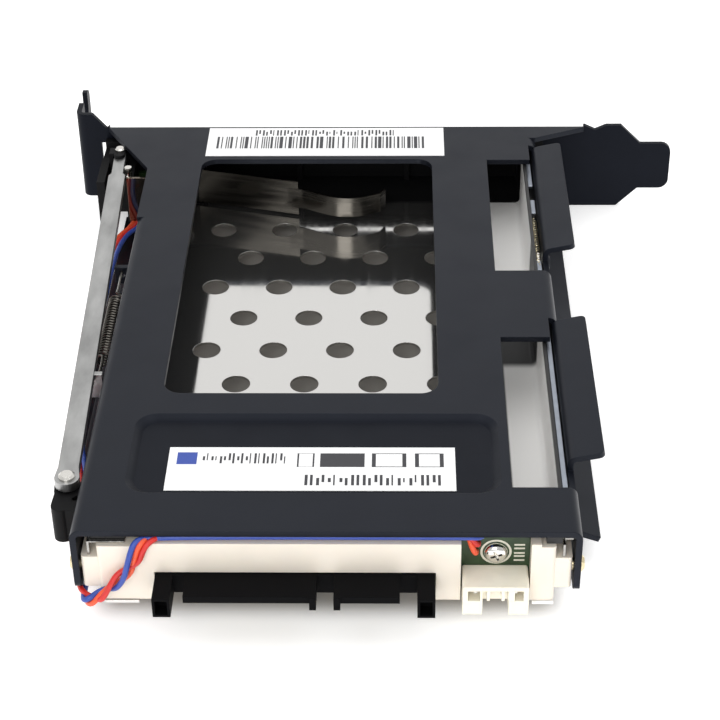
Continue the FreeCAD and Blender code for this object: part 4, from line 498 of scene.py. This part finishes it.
# ---------------------------------------------------------------- shapes
def slab(name, low, high, edge, body, material):
    """A block between two corners with its edges rounded."""
    mesh = bmesh.new()
    bmesh.ops.create_cube(mesh, size=1.0)
    for vertex in mesh.verts:
        vertex.co = Vector([(low[i] + high[i]) / 2 + vertex.co[i] * (high[i] - low[i]) for i in range(3)])
    bmesh.ops.bevel(mesh, geom=mesh.edges[:], offset=edge, segments=2, affect="EDGES", profile=0.5)
    return add_bmesh(name, mesh, body, material)


def add_bmesh(name, mesh, body, material):
    """A piece from a bmesh, which is used up."""
    mesh.normal_update()
    mesh.verts.index_update()
    vertices = [vertex.co.copy() for vertex in mesh.verts]
    faces = [[vertex.index for vertex in face.verts] for face in mesh.faces]
    mesh.free()
    return add_piece(name, vertices, faces, body, material)


def skin(rings, sides):
    """Faces between rings of vertices that follow each other, with a face over each end."""
    faces = []
    for first in range(0, (rings - 1) * sides, sides):
        for step in range(sides):
            a, b = first + step, first + (step + 1) % sides
            faces.append((a, b, b + sides, a + sides))
    faces.append(tuple(reversed(range(sides))))
    faces.append(tuple(range((rings - 1) * sides, rings * sides)))
    return faces


def tube(points, radius, sides):
    """Vertices and faces of a round tube along points, with closed ends."""
    count = len(points)
    vertices = []
    side = None
    for index, point in enumerate(points):
        ahead = (points[min(index + 1, count - 1)] - points[max(index - 1, 0)]).normalized()
        side = ahead.orthogonal() if side is None else side - ahead * side.dot(ahead)
        side.normalize()
        other = ahead.cross(side)
        for step in range(sides):
            angle = math.tau * step / sides
            vertices.append(point + (side * math.cos(angle) + other * math.sin(angle)) * radius)
    return vertices, skin(count, sides)


def wind(axis, ends, radius, turns, turn_steps):
    """Points of a coil round an axis along y, from the top of its first turn to the top of its last."""
    across, height = axis
    start, end = ends
    steps = turns * turn_steps
    points = []
    for step in range(steps + 1):
        angle = math.tau * step / turn_steps
        points.append(at(across + radius * math.sin(angle), start + (end - start) * step / steps,
                         height + radius * math.cos(angle)))
    return points


def flat_ring(centre, outer, inner, sides):
    """A thin flat ring that faces the rear."""
    vertices, faces = [], []
    for step in range(sides):
        angle = math.tau * step / sides
        for radius in (inner, outer):
            vertices.append(centre + Vector((radius * math.cos(angle), 0, radius * math.sin(angle))))
        a, b = 2 * step, 2 * ((step + 1) % sides)
        faces.append((a, b, b + 1, a + 1))
    return vertices, faces


def shade_smooth(piece, angle=math.radians(40)):
    """Smooth faces, with edges sharper than an angle kept."""
    mesh = piece.data
    mesh.shade_smooth()
    mesh.set_sharp_from_angle(angle=angle)
    return piece


def screw(name, seat, facing, head, shank, recess, body, material, slot):
    """A pan-head screw: head is its radius and height, shank its radius and length, and recess its arms'
    reach, half width and depth."""
    turn = Vector((0, 0, 1)).rotation_difference(facing).to_matrix()
    radius, height = head
    rise = [(radius * math.cos(angle) ** SCREW_ROUNDNESS, height * math.sin(angle)) for angle in SCREW_ANGLES]
    profile = [(shank[0], -shank[1]), (shank[0], 0.0), *rise]
    vertices = []
    for r, h in profile:
        for step in range(SCREW_SIDES):
            angle = math.tau * step / SCREW_SIDES
            vertices.append(seat + turn @ Vector((r * math.cos(angle), r * math.sin(angle), h)))
    piece = add_piece(name, vertices, skin(len(profile), SCREW_SIDES), body, material)
    cut_cross(piece, seat, turn, height, recess)
    return shade_smooth(piece)


def cut_cross(piece, seat, turn, height, recess):
    """Cuts a cross-shaped recess, narrower at its foot, into a screw's head."""
    reach, half, depth = recess
    outline_points = []
    for quarter in range(4):
        spin = Matrix.Rotation(quarter * math.pi / 2 + RECESS_TURN, 3, "Z")
        outline_points += [spin @ Vector((half, half, 0)), spin @ Vector((half, reach, 0)),
                           spin @ Vector((-half, reach, 0))]
    cutter = bmesh.new()
    rings = []
    for level, share in ((height - depth, RECESS_FOOT), (height + RECESS_CLEAR * MM, RECESS_MOUTH)):
        rings.append([cutter.verts.new(seat + turn @ (point * share + Vector((0, 0, level))))
                      for point in outline_points])
    count = len(outline_points)
    for step in range(count):
        following = (step + 1) % count
        cutter.faces.new((rings[0][step], rings[0][following], rings[1][following], rings[1][step]))
    cutter.faces.new(list(reversed(rings[0])))
    cutter.faces.new(rings[1])
    bmesh.ops.recalc_face_normals(cutter, faces=cutter.faces[:])
    mesh = bpy.data.meshes.new("cross_cutter")
    cutter.to_mesh(mesh)
    cutter.free()
    tool = bpy.data.objects.new("cross_cutter", mesh)
    bpy.context.scene.collection.objects.link(tool)
    modifier = piece.modifiers.new("recess", "BOOLEAN")
    modifier.operation = "DIFFERENCE"
    modifier.object = tool
    carved = bpy.data.meshes.new_from_object(piece.evaluated_get(bpy.context.evaluated_depsgraph_get()))
    piece.modifiers.clear()
    piece.data = carved
    bpy.data.objects.remove(tool)


# ---------------------------------------------------------------- prints
# A mark is two strokes in shares of its pitch, trimmed by shares of the row's height. The widths of bars and
# of the gaps between them are counted in units of their row.
FIRST_STROKE = (0.0, 0.26)
SECOND_STROKE = 0.46
SECOND_WIDTHS = (0.14, 0.24)
STROKE_TRIMS = (0.0, 0.0, 0.3)
ROW_UNITS = 190
BAR_UNITS = (1, 1, 2, 3)


def flat_boxes(rectangles, base, height, right, up):
    """Thin boxes on a plane: rectangles are (u0, u1, v0, v1) along right and up, from a base point."""
    out = right.cross(up)
    vertices, faces = [], []
    for u0, u1, v0, v1 in rectangles:
        first = len(vertices)
        for lift in (0.0, height):
            for u, v in ((u0, v0), (u1, v0), (u1, v1), (u0, v1)):
                vertices.append(base + right * u + up * v + out * lift)
        faces += [tuple(first + i for i in face) for face in
                  ((4, 5, 6, 7), (0, 1, 5, 4), (1, 2, 6, 5), (2, 3, 7, 6), (3, 0, 4, 7))]
    return vertices, faces


def mark_row(left, right, low, high, count, source):
    """Plain upright marks of mixed heights in the place of a row of print."""
    pitch = (right - left) / count
    marks = []
    for index in range(count):
        x0 = left + index * pitch
        for start, width in (FIRST_STROKE, (SECOND_STROKE, source.choice(SECOND_WIDTHS))):
            foot = low + (high - low) * source.choice(STROKE_TRIMS)
            head = high - (high - low) * source.choice(STROKE_TRIMS)
            marks.append((x0 + start * pitch, x0 + (start + width) * pitch, foot, head))
    return marks


def bar_row(left, right, low, high, source):
    """Upright bars of mixed widths."""
    bars = []
    unit = (right - left) / ROW_UNITS
    x = left
    while x < right - max(BAR_UNITS) * unit:
        width = unit * source.choice(BAR_UNITS)
        bars.append((x, min(x + width, right), low, high))
        x += width + unit * source.choice(BAR_UNITS)
    return bars


def outline(left, right, low, high, stroke):
    """Four strokes round a rectangle."""
    return [(left, right, low, low + stroke), (left, right, high - stroke, high),
            (left, left + stroke, low + stroke, high - stroke),
            (right - stroke, right, low + stroke, high - stroke)]


# ---------------------------------------------------------------- operators
class DriveCageOperator:
    """What every step shares: its options and the settings that it reads."""

    bl_options = {"REGISTER", "UNDO"}

    @property
    def colours(self):
        return bpy.context.scene.drive_cage_colours

    @property
    def detail(self):
        return bpy.context.scene.drive_cage_detail


class DRIVECAGE_OT_finish_cover(DriveCageOperator, bpy.types.Operator):
    """Give the cover, the slot bracket and the cage's screws their powder coat"""

    bl_idname = "drive_cage.finish_cover"
    bl_label = "Finish Cover"

    def execute(self, context):
        detail = self.detail
        coat = Finish("powder_coat", self.colours.paint, 0.40)
        grain = coat.noise(detail.paint_grain, detail=2.0)
        coat.mottle(coat.noise(6 * MM, detail=4.0), 0.10)
        coat.vary("Roughness", coat.noise(9 * MM), 0.36, 0.46)
        coat.round_edges(detail.paint_edge)
        coat.relief(grain, detail.paint_relief)
        coat.set(Specular_Tint=(0.76, 0.83, 1.0, 1.0))
        coat.blend("Specular IOR Level", coat.every([("Y", *BRACKET_FADE)]), 0.245, 0.11)
        # Less sheen inside the recess paints shade into it.
        coat.blend("Specular IOR Level", coat.every(RECESS_SHADE), coat.now("Specular IOR Level"), 0.14)
        paint(["mounting_frame", "cage_screws"], coat)
        return {"FINISHED"}


class DRIVECAGE_OT_finish_cage(DriveCageOperator, bpy.types.Operator):
    """Polish the inner cage, with its brushed ledge along the right side"""

    bl_idname = "drive_cage.finish_cage"
    bl_label = "Finish Cage"

    def execute(self, context):
        sheet = Finish("polished_sheet", self.colours.cage, 0.06, metallic=0.97)
        streaks = sheet.noise(1.2 * MM, detail=5.0, stretch=(1.0, 0.05, 1.0))
        sheet.vary("Roughness", streaks, 0.035, 0.10)
        sheet.round_edges(self.detail.sheet_edge)
        sheet.relief(sheet.noise(14 * MM, detail=1.0), 0.02 * MM)
        sheet.relief(sheet.zone("Y", FRONT_EDGE, REAR_EDGE, "LINEAR"), self.detail.floor_fall)
        ledge = sheet.every([("X", *LEDGE_FADE)])
        sheet.blend("Metallic", ledge, 0.97, 0.15)
        sheet.blend("Roughness", ledge, sheet.now("Roughness"), 0.45)
        sheet.blend_colour(ledge, self.colours.ledge)
        bridge = sheet.both(ledge, sheet.every(BRIDGE_SHADE))
        gap = sheet.both(ledge, sheet.every(LEDGE_GAP_SHADE))
        for shade in (bridge, gap, sheet.every(LEDGE_BRIM_SHADE)):
            sheet.blend_colour(shade, self.colours.shade)
        # Painted dark reflection on the tab beside the eject bar.
        sheet.blend_colour(sheet.every([("X", *TAB_REFLECTION)]), self.colours.tab)
        paint(["inner_cage"], sheet)
        return {"FINISHED"}


class DRIVECAGE_OT_finish_connectors(DriveCageOperator, bpy.types.Operator):
    """Finish the block at the rear, the boards and the connectors"""

    bl_idname = "drive_cage.finish_connectors"
    bl_label = "Finish Connectors"

    def execute(self, context):
        colours, detail = self.colours, self.detail
        ivory = Finish("ivory_plastic", colours.ivory, 0.38)
        ivory.mottle(ivory.noise(5 * MM), 0.02).round_edges(detail.mould_edge)
        ivory.set(Subsurface_Weight=0.15, Subsurface_Radius=(1.2 * MM, 0.9 * MM, 0.6 * MM))
        paint(["connector_block"], ivory)
        black = Finish("connector_black", colours.black, 0.48)
        black.round_edges(detail.mould_edge).relief(black.noise(0.25 * MM), 0.003 * MM)
        black.set(Specular_IOR_Level=0.025)
        paint(["sata_plug", "drive_receptacle"], black)
        gold = Finish("contact_gold", colours.gold, 0.22, metallic=1.0)
        gold.mottle(gold.noise(0.6 * MM), 0.08)
        paint(["plug_contacts", "receptacle_contacts"], gold)
        board = Finish("board_resist", colours.board, 0.30)
        board.mottle(board.noise(1.6 * MM, detail=5.0), 0.35).round_edges(0.05 * MM)
        paint(["circuit_board", "light_board"], board)
        nylon = Finish("header_nylon", colours.nylon, 0.30)
        nylon.mottle(nylon.noise(2 * MM), 0.03).round_edges(detail.mould_edge)
        nylon.set(Subsurface_Weight=0.35, Subsurface_Radius=(1.6 * MM, 1.5 * MM, 1.2 * MM))
        paint(["power_header"], nylon)
        return {"FINISHED"}


class DRIVECAGE_OT_finish_front(DriveCageOperator, bpy.types.Operator):
    """Finish the front frame, the door and its spring, the button, the lever and the status light"""

    bl_idname = "drive_cage.finish_front"
    bl_label = "Finish Front"

    def execute(self, context):
        colours, detail = self.colours, self.detail
        black = Finish("moulded_black", colours.black, 0.52)
        black.round_edges(detail.mould_edge).relief(black.noise(0.3 * MM), 0.006 * MM)
        black.set(Specular_IOR_Level=0.12)
        paint(["front_frame", "door", "eject_button", "eject_lever"], black)
        leaf = Finish("leaf_steel", colours.leaf, 0.20, metallic=1.0)
        brushing = leaf.noise(0.9 * MM, detail=6.0, stretch=(0.05, 0.05, 1.0))
        leaf.vary("Roughness", brushing, 0.12, 0.30)
        leaf.relief(brushing, 0.003 * MM)
        paint(["door_spring"], leaf)
        lens = Finish("clear_lens", colours.lens, 0.12)
        lens.mottle(lens.noise(1 * MM), 0.03).set(Transmission_Weight=0.8, IOR=1.49)
        paint(["status_light"], lens)
        return {"FINISHED"}


class DRIVECAGE_OT_finish_linkage(DriveCageOperator, bpy.types.Operator):
    """Finish the eject bar and the return spring"""

    bl_idname = "drive_cage.finish_linkage"
    bl_label = "Finish Linkage"

    def execute(self, context):
        colours = self.colours
        bar = Finish("zinc_plate", colours.zinc, 0.40, metallic=1.0)
        streaks = bar.noise(1.5 * MM, detail=6.0, stretch=(1.0, 0.10, 1.0))
        bar.mottle(bar.noise(3 * MM, detail=5.0, stretch=(1.0, 0.35, 1.0)), 0.22)
        bar.vary("Roughness", streaks, 0.30, 0.48)
        bar.round_edges(0.12 * MM).relief(streaks, 0.006 * MM)
        paint(["eject_bar"], bar)
        spring = Finish("spring_wire", colours.leaf, 0.28, metallic=1.0)
        spring.mottle(spring.noise(0.8 * MM), 0.10)
        paint(["return_spring"], spring)
        return {"FINISHED"}


class DRIVECAGE_OT_finish_fasteners(DriveCageOperator, bpy.types.Operator):
    """Plate the board's screw, the side screws, the pins, the rivets and the spacers"""

    bl_idname = "drive_cage.finish_fasteners"
    bl_label = "Finish Fasteners"

    def execute(self, context):
        colours = self.colours
        nickel = Finish("nickel_plate", colours.nickel, 0.20, metallic=1.0)
        nickel.vary("Roughness", nickel.noise(0.8 * MM), 0.14, 0.28).round_edges(0.05 * MM)
        paint(["board_screw", "spring_rivets", "door_hinge_pin", "button_stop_pin", "bar_guide_pin",
               "bar_front_pin", "bar_rivet", "lever_pivot_pin", "header_pins", "cage_spacers"], nickel)
        brass = Finish("brass_plate", colours.brass, 0.24, metallic=1.0)
        brass.vary("Roughness", brass.noise(0.8 * MM), 0.18, 0.32).round_edges(0.05 * MM)
        paint(["side_screws"], brass)
        return {"FINISHED"}


class DRIVECAGE_OT_route_leads(DriveCageOperator, bpy.types.Operator):
    """Lay the lead's three strands as smooth round wires"""

    bl_idname = "drive_cage.route_leads"
    bl_label = "Route Leads"

    def execute(self, context):
        for strand, route in REAR_ROUTES.items():
            insulation = Finish(strand + "_insulation", getattr(self.colours, strand), 0.36)
            insulation.mottle(insulation.noise(2 * MM), 0.05)
            insulation.set(Subsurface_Weight=0.1, Subsurface_Radius=(0.4 * MM, 0.2 * MM, 0.2 * MM))
            paint(["lead_" + strand], insulation)
            across, lane = LANES[strand]
            points = [at_rear(*place) for place in route]
            points += [at(across - LANE_SHIFT, stop, lane) for stop in LANE_STOPS]
            points += [at(across, stop, level) for stop, level in LANE_ENDS]
            curve = bpy.data.curves.new("strand_" + strand, "CURVE")
            curve.dimensions = "3D"
            curve.bevel_depth = STRAND_RADIUS
            curve.bevel_resolution = 4
            curve.resolution_u = 8
            curve.use_fill_caps = True
            spline = curve.splines.new("NURBS")
            spline.points.add(len(points) - 1)
            for control, point in zip(spline.points, points):
                control.co = (*point, 1.0)
            spline.order_u = 3
            spline.use_endpoint_u = True
            curve.materials.append(insulation.material)
            wire = bpy.data.objects.new("strand_" + strand, curve)
            bpy.context.scene.collection.objects.link(wire)
            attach(wire, "cage")
            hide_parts("lead_" + strand)
        return {"FINISHED"}


class DRIVECAGE_OT_shape_bar(DriveCageOperator, bpy.types.Operator):
    """Shape the eject bar, with its narrow nose, round tail and the tab that holds the spring"""

    bl_idname = "drive_cage.shape_bar"
    bl_label = "Shape Bar"

    def execute(self, context):
        front, rear = at(*BAR_FRONT, BAR_TOP), at(*BAR_REAR, BAR_TOP)
        along = (rear - front).normalized()
        across = Vector((0, 0, 1)).cross(along)
        span = (rear - front).length / MM
        neck_front, neck_rear = BAR_NECK
        nose_angles = [math.pi * step / NOSE_STEPS for step in range(NOSE_STEPS + 1)]
        tail_angles = [math.pi * step / TAIL_STEPS for step in range(TAIL_STEPS + 1)]
        nose = [(-BAR_NOSE * math.cos(angle), -BAR_NOSE * math.sin(angle)) for angle in nose_angles]
        tail = [(BAR_TAIL * math.cos(angle), span + BAR_TAIL * math.sin(angle)) for angle in tail_angles]
        rim = [(-BAR_HALF, neck_rear), (-BAR_NOSE, neck_front), *nose, (BAR_NOSE, neck_front),
               (BAR_HALF, neck_rear), (BAR_HALF, span - BAR_SHOULDER), *tail,
               (-BAR_HALF, span - BAR_SHOULDER)]
        plate = bmesh.new()
        face = plate.faces.new([plate.verts.new(front + across * u * MM + along * v * MM) for u, v in rim])
        grown = bmesh.ops.extrude_face_region(plate, geom=[face])
        moved = [item for item in grown["geom"] if isinstance(item, bmesh.types.BMVert)]
        bmesh.ops.translate(plate, verts=moved, vec=(0, 0, -BAR_THICKNESS * MM))
        bmesh.ops.recalc_face_normals(plate, faces=plate.faces[:])
        zinc = bpy.data.materials["zinc_plate"]
        bar = add_bmesh("bar_plate", plate, "ejector", zinc)
        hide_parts("eject_bar")
        low, high = BAR_TAB
        slab("bar_tab", at(*low), at(*high), TAB_EDGE * MM, "ejector", zinc)
        return {"FINISHED"}


class DRIVECAGE_OT_wind_spring(DriveCageOperator, bpy.types.Operator):
    """Wind the return spring's coil between its two hooks"""

    bl_idname = "drive_cage.wind_spring"
    bl_label = "Wind Spring"

    def execute(self, context):
        across, height = COIL_AXIS
        front, rear = COIL_ENDS
        hook, bend = height + HOOK_RISE, height + HOOK_BEND * HOOK_RISE
        turns = wind(COIL_AXIS, COIL_ENDS, COIL_RADIUS, COIL_TURNS, TURN_STEPS)
        line = [at(across, COIL_HOOKS[0], hook), at(across, front + HOOK_LEAD, bend),
                at(across, front + HOOK_START, height + COIL_RADIUS), *turns[1:-1],
                at(across, rear - HOOK_START, height + COIL_RADIUS), at(across, rear - HOOK_LEAD, bend),
                at(across, COIL_HOOKS[1], hook)]
        vertices, faces = tube(line, COIL_WIRE * MM / 2, COIL_SIDES)
        coil = shade_smooth(add_mesh("spring_coil", vertices, faces, bpy.data.materials["spring_wire"]))
        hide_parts("return_spring")
        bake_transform(coil)
        return {"FINISHED"}


class DRIVECAGE_OT_trim_corners(DriveCageOperator, bpy.types.Operator):
    """Fit the pads and clips at the rear corners"""

    bl_idname = "drive_cage.trim_corners"
    bl_label = "Trim Corners"

    def execute(self, context):
        rubber = Finish("corner_pad", self.colours.rubber, 0.5)
        rubber.mottle(rubber.noise(1 * MM), 0.1)
        steel = Finish("clip_steel", self.colours.clip, 0.22, metallic=1.0)
        steel.mottle(steel.noise(1 * MM), 0.1).vary("Roughness", steel.noise(1 * MM), 0.15, 0.30)
        for pieces, finish, slot in ((CORNER_PADS, rubber, "black_plastic"),
                                     (CORNER_CLIPS, steel, "nickel_plate")):
            for name, (low, high) in pieces.items():
                slab(name, at(*low), at(*high), CORNER_EDGE * MM, "cage", finish.material)
        return {"FINISHED"}


class DRIVECAGE_OT_lay_floors(DriveCageOperator, bpy.types.Operator):
    """Lay the painted sheet below the eject bar and below the right gap"""

    bl_idname = "drive_cage.lay_floors"
    bl_label = "Lay Floors"

    def execute(self, context):
        coat = bpy.data.materials["powder_coat"]
        for name, (low, high) in CHANNEL_FLOORS.items():
            slab(name, at(*low), at(*high), FLOOR_EDGE * MM, "cage", coat)
        return {"FINISHED"}


class DRIVECAGE_OT_fit_latch(DriveCageOperator, bpy.types.Operator):
    """Fit the rail and the small sprung latch beside the right wing"""

    bl_idname = "drive_cage.fit_latch"
    bl_label = "Fit Latch"

    def execute(self, context):
        rail = Finish("rail_steel", self.colours.rail, 0.38, metallic=1.0)
        rail.mottle(rail.noise(2 * MM), 0.08)
        left, right = LATCH_SIDES
        for name, (rear, front, top) in LATCH_PLATES.items():
            slab(name, at(left, rear, top - LATCH_THICKNESS), at(right, front, top), CORNER_EDGE * MM, "cage",
                 rail.material)
        line = wind(LATCH_COIL_AXIS, LATCH_COIL_ENDS, LATCH_COIL_RADIUS, LATCH_COIL_TURNS, LATCH_TURN_STEPS)
        vertices, faces = tube(line, LATCH_WIRE * MM / 2, LATCH_COIL_SIDES)
        brass = bpy.data.materials["brass_plate"]
        shade_smooth(add_piece("latch_spring", vertices, faces, "cage", brass))
        return {"FINISHED"}


class DRIVECAGE_OT_seat_screw(DriveCageOperator, bpy.types.Operator):
    """Seat the board's pan-head screw"""

    bl_idname = "drive_cage.seat_screw"
    bl_label = "Seat Screw"

    def execute(self, context):
        across, height = BOARD_SCREW
        sizes = [[size * MM for size in group] for group in (SCREW_HEAD, SCREW_SHANK, SCREW_RECESS)]
        head = screw("board_screw_head", at(across, BOARD_FACE, height), Vector((0, -1, 0)), *sizes,
                     "cage", bpy.data.materials["nickel_plate"], "nickel_plate")
        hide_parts("board_screw")
        return {"FINISHED"}


class DRIVECAGE_OT_print_board(DriveCageOperator, bpy.types.Operator):
    """Print plain bars and a ring round the screw on the circuit board"""

    bl_idname = "drive_cage.print_board"
    bl_label = "Print Board"

    def execute(self, context):
        silk = Finish("board_print", self.colours.silk, 0.5)
        silk.mottle(silk.noise(1 * MM), 0.08)
        left, right = BOARD_BARS
        bars = [(left * MM, right * MM, level * MM, (level + BOARD_BAR_HEIGHT) * MM)
                for level in BOARD_BAR_LEVELS]
        vertices, faces = flat_boxes(bars, at(0, BOARD_FACE, 0), self.detail.print_height, Vector((1, 0, 0)),
                                     Vector((0, 0, 1)))
        add_piece("board_print_bars", vertices, faces, "cage", silk.material)
        across, height = BOARD_SCREW
        outer, inner = RING_RADII
        vertices, faces = flat_ring(at(across, BOARD_FACE - RING_LIFT, height), outer * MM, inner * MM,
                                    RING_SIDES)
        add_piece("board_print_ring", vertices, faces, "cage", silk.material)
        return {"FINISHED"}


class DRIVECAGE_OT_rib_header(DriveCageOperator, bpy.types.Operator):
    """Rib the mouth of the power header"""

    bl_idname = "drive_cage.rib_header"
    bl_label = "Rib Header"

    def execute(self, context):
        nylon = bpy.data.materials["header_nylon"]
        low, high = HEADER_MOUTH
        for index, (left, right) in enumerate(HEADER_RIBS):
            slab("header_rib_%d" % (index + 1), at(HEADER_LEFT + left, HEADER_REAR, low),
                 at(HEADER_LEFT + right, HEADER_REAR + RIB_DEPTH, high), RIB_EDGE * MM, "cage", nylon)
        return {"FINISHED"}


class DRIVECAGE_OT_print_labels(DriveCageOperator, bpy.types.Operator):
    """Finish the two labels and print plain bars, marks and boxes on them"""

    bl_idname = "drive_cage.print_labels"
    bl_label = "Print Labels"

    def execute(self, context):
        colours = self.colours
        film = Finish("label_film", colours.label, 0.35)
        film.mottle(film.noise(8 * MM), 0.01).relief(film.noise(7 * MM), 0.01 * MM)
        paint(["upper_label", "lower_label"], film)
        ink = Finish("label_ink", colours.ink, 0.45)
        ink.mottle(ink.noise(1 * MM), 0.05)
        blue = Finish("label_blue", colours.blue, 0.45)
        blue.mottle(blue.noise(1 * MM), 0.05)
        source = random.Random(5)

        def printed(name, label, ink_used, rows):
            """Rows are left, right, low and high, as shares of the label's width and depth."""
            low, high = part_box(label)
            width, depth = high.x - low.x, high.y - low.y
            boxes = [(u0 * width, u1 * width, v0 * depth, v1 * depth) for u0, u1, v0, v1 in rows]
            base = Vector((low.x, low.y, high.z))
            vertices, faces = flat_boxes(boxes, base, self.detail.print_height, Vector((1, 0, 0)),
                                         Vector((0, 1, 0)))
            add_piece(name, vertices, faces, "cage", ink_used.material)

        printed("upper_label_print", "upper_label", ink,
                bar_row(0.04, 0.94, 0.26, 0.68, source) + mark_row(0.20, 0.80, 0.72, 0.92, 20, source))
        printed("lower_label_print", "lower_label", ink,
                mark_row(0.12, 0.42, 0.62, 0.86, 10, source) + outline(0.45, 0.51, 0.54, 0.86, 0.006)
                + [(0.53, 0.685, 0.54, 0.86)] + outline(0.71, 0.83, 0.54, 0.86, 0.014)
                + outline(0.86, 0.96, 0.54, 0.86, 0.014) + mark_row(0.48, 0.96, 0.12, 0.36, 12, source))
        printed("lower_label_mark", "lower_label", blue, [(0.03, 0.10, 0.60, 0.88)])
        return {"FINISHED"}


class DRIVECAGE_OT_build_stage(DriveCageOperator, bpy.types.Operator):
    """Set up the camera, the soft lights and the floor"""

    bl_idname = "drive_cage.build_stage"
    bl_label = "Build Stage"

    def execute(self, context):
        stage = context.scene.drive_cage_stage
        self.place_camera(context.scene, stage)
        self.light_world(context.scene, stage)
        self.add_light("key_light", stage.key_power, *KEY_LIGHT)
        self.add_light("front_light", stage.front_power, *FRONT_LIGHT)
        self.add_floor(stage)
        return {"FINISHED"}

    def place_camera(self, scene, stage):
        camera = bpy.data.cameras.new("camera")
        camera.lens = stage.lens
        camera.sensor_width = 36.0
        camera.clip_start = 0.01
        holder = bpy.data.objects.new("camera", camera)
        scene.collection.objects.link(holder)
        turn = Matrix.Rotation(-stage.camera_turn, 4, "Z")
        fall = Matrix.Rotation(math.pi / 2 - stage.camera_fall, 4, "X")
        roll = Matrix.Rotation(stage.camera_roll, 4, "Z")
        holder.matrix_world = Matrix.Translation(stage.camera_place) @ turn @ fall @ roll
        scene.camera = holder

    def light_world(self, scene, stage):
        world = bpy.data.worlds.new("studio")
        world.use_nodes = True
        background = world.node_tree.nodes["Background"]
        background.inputs["Color"].default_value = (1.0, 1.0, 1.0, 1.0)
        nodes, links = world.node_tree.nodes, world.node_tree.links
        direction = nodes.new("ShaderNodeTexCoord").outputs["Generated"]
        split = nodes.new("ShaderNodeSeparateXYZ")
        across = nodes.new("ShaderNodeMapRange")
        across.inputs["From Min"].default_value = -1.0
        across.inputs["To Min"].default_value, across.inputs["To Max"].default_value = stage.world_light
        links.new(direction, split.inputs["Vector"])
        links.new(split.outputs["Y"], across.inputs["Value"])
        links.new(across.outputs["Result"], background.inputs["Strength"])
        scene.world = world
        scene.view_settings.view_transform = "Standard"

    def add_light(self, name, power, size, place):
        """A square soft light that looks at the middle of the floor."""
        light = bpy.data.lights.new(name, "AREA")
        light.shape = "SQUARE"
        light.size = size
        light.energy = power
        holder = bpy.data.objects.new(name, light)
        holder.location = place
        holder.rotation_euler = (Vector() - Vector(place)).to_track_quat("-Z", "Y").to_euler()
        bpy.context.scene.collection.objects.link(holder)

    def add_floor(self, stage):
        half = stage.floor_size / 2
        corners = [(-half, -half, 0), (half, -half, 0), (half, half, 0), (-half, half, 0)]
        finish = Finish("floor_white", self.colours.floor, 0.6)
        finish.mottle(finish.noise(0.3), 0.004)
        low, high = at(-COVER_HALF / MM, 0, 0), at(COVER_HALF / MM, 0, 0)
        sides = finish.both(finish.zone("X", low.x, low.x + stage.shade_edge),
                            finish.zone("X", high.x, high.x - stage.shade_edge))
        ends = finish.both(finish.zone("Y", REAR_EDGE, REAR_EDGE + stage.shade_edge),
                           finish.zone("Y", FRONT_EDGE, FRONT_EDGE - stage.shade_edge))
        under = finish.both(sides, ends)
        finish.blend("Emission Strength", under, stage.floor_glow, 0.0)
        finish.blend_colour(under, self.colours.under)
        finish.set(Emission_Color=(1.0, 1.0, 1.0, 1.0))
        floor = add_mesh("floor", corners, [(0, 1, 2, 3)], finish.material)


OPERATORS = [
    DRIVECAGE_OT_finish_cover,
    DRIVECAGE_OT_finish_cage,
    DRIVECAGE_OT_finish_connectors,
    DRIVECAGE_OT_finish_front,
    DRIVECAGE_OT_finish_linkage,
    DRIVECAGE_OT_finish_fasteners,
    DRIVECAGE_OT_route_leads,
    DRIVECAGE_OT_shape_bar,
    DRIVECAGE_OT_wind_spring,
    DRIVECAGE_OT_trim_corners,
    DRIVECAGE_OT_lay_floors,
    DRIVECAGE_OT_fit_latch,
    DRIVECAGE_OT_seat_screw,
    DRIVECAGE_OT_print_board,
    DRIVECAGE_OT_rib_header,
    DRIVECAGE_OT_print_labels,
    DRIVECAGE_OT_build_stage,
]


class DRIVECAGE_PT_panel(bpy.types.Panel):
    """Settings and steps of the drive cage"""

    bl_idname = "DRIVECAGE_PT_panel"
    bl_label = "Drive Cage"
    bl_space_type = "VIEW_3D"
    bl_region_type = "UI"
    bl_category = "Drive Cage"

    def draw(self, context):
        for name, group in GROUPS.items():
            column = self.layout.column(align=True)
            column.label(text=group.__doc__)
            for setting in group.__annotations__:
                column.prop(getattr(context.scene, name), setting)
        for operator in OPERATORS:
            self.layout.operator(operator.bl_idname)


def register():
    for group in GROUPS.values():
        bpy.utils.register_class(group)
    for name, group in GROUPS.items():
        setattr(bpy.types.Scene, name, bpy.props.PointerProperty(type=group))
    for operator in OPERATORS:
        bpy.utils.register_class(operator)
    bpy.utils.register_class(DRIVECAGE_PT_panel)


def unregister():
    bpy.utils.unregister_class(DRIVECAGE_PT_panel)
    for operator in reversed(OPERATORS):
        bpy.utils.unregister_class(operator)
    for name in GROUPS:
        delattr(bpy.types.Scene, name)
    for group in reversed(GROUPS.values()):
        bpy.utils.unregister_class(group)


def main():
    register()
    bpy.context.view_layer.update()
    for operator in OPERATORS:
        area, name = operator.bl_idname.split(".")
        getattr(getattr(bpy.ops, area), name)()


if __name__ == "__main__":
    main()
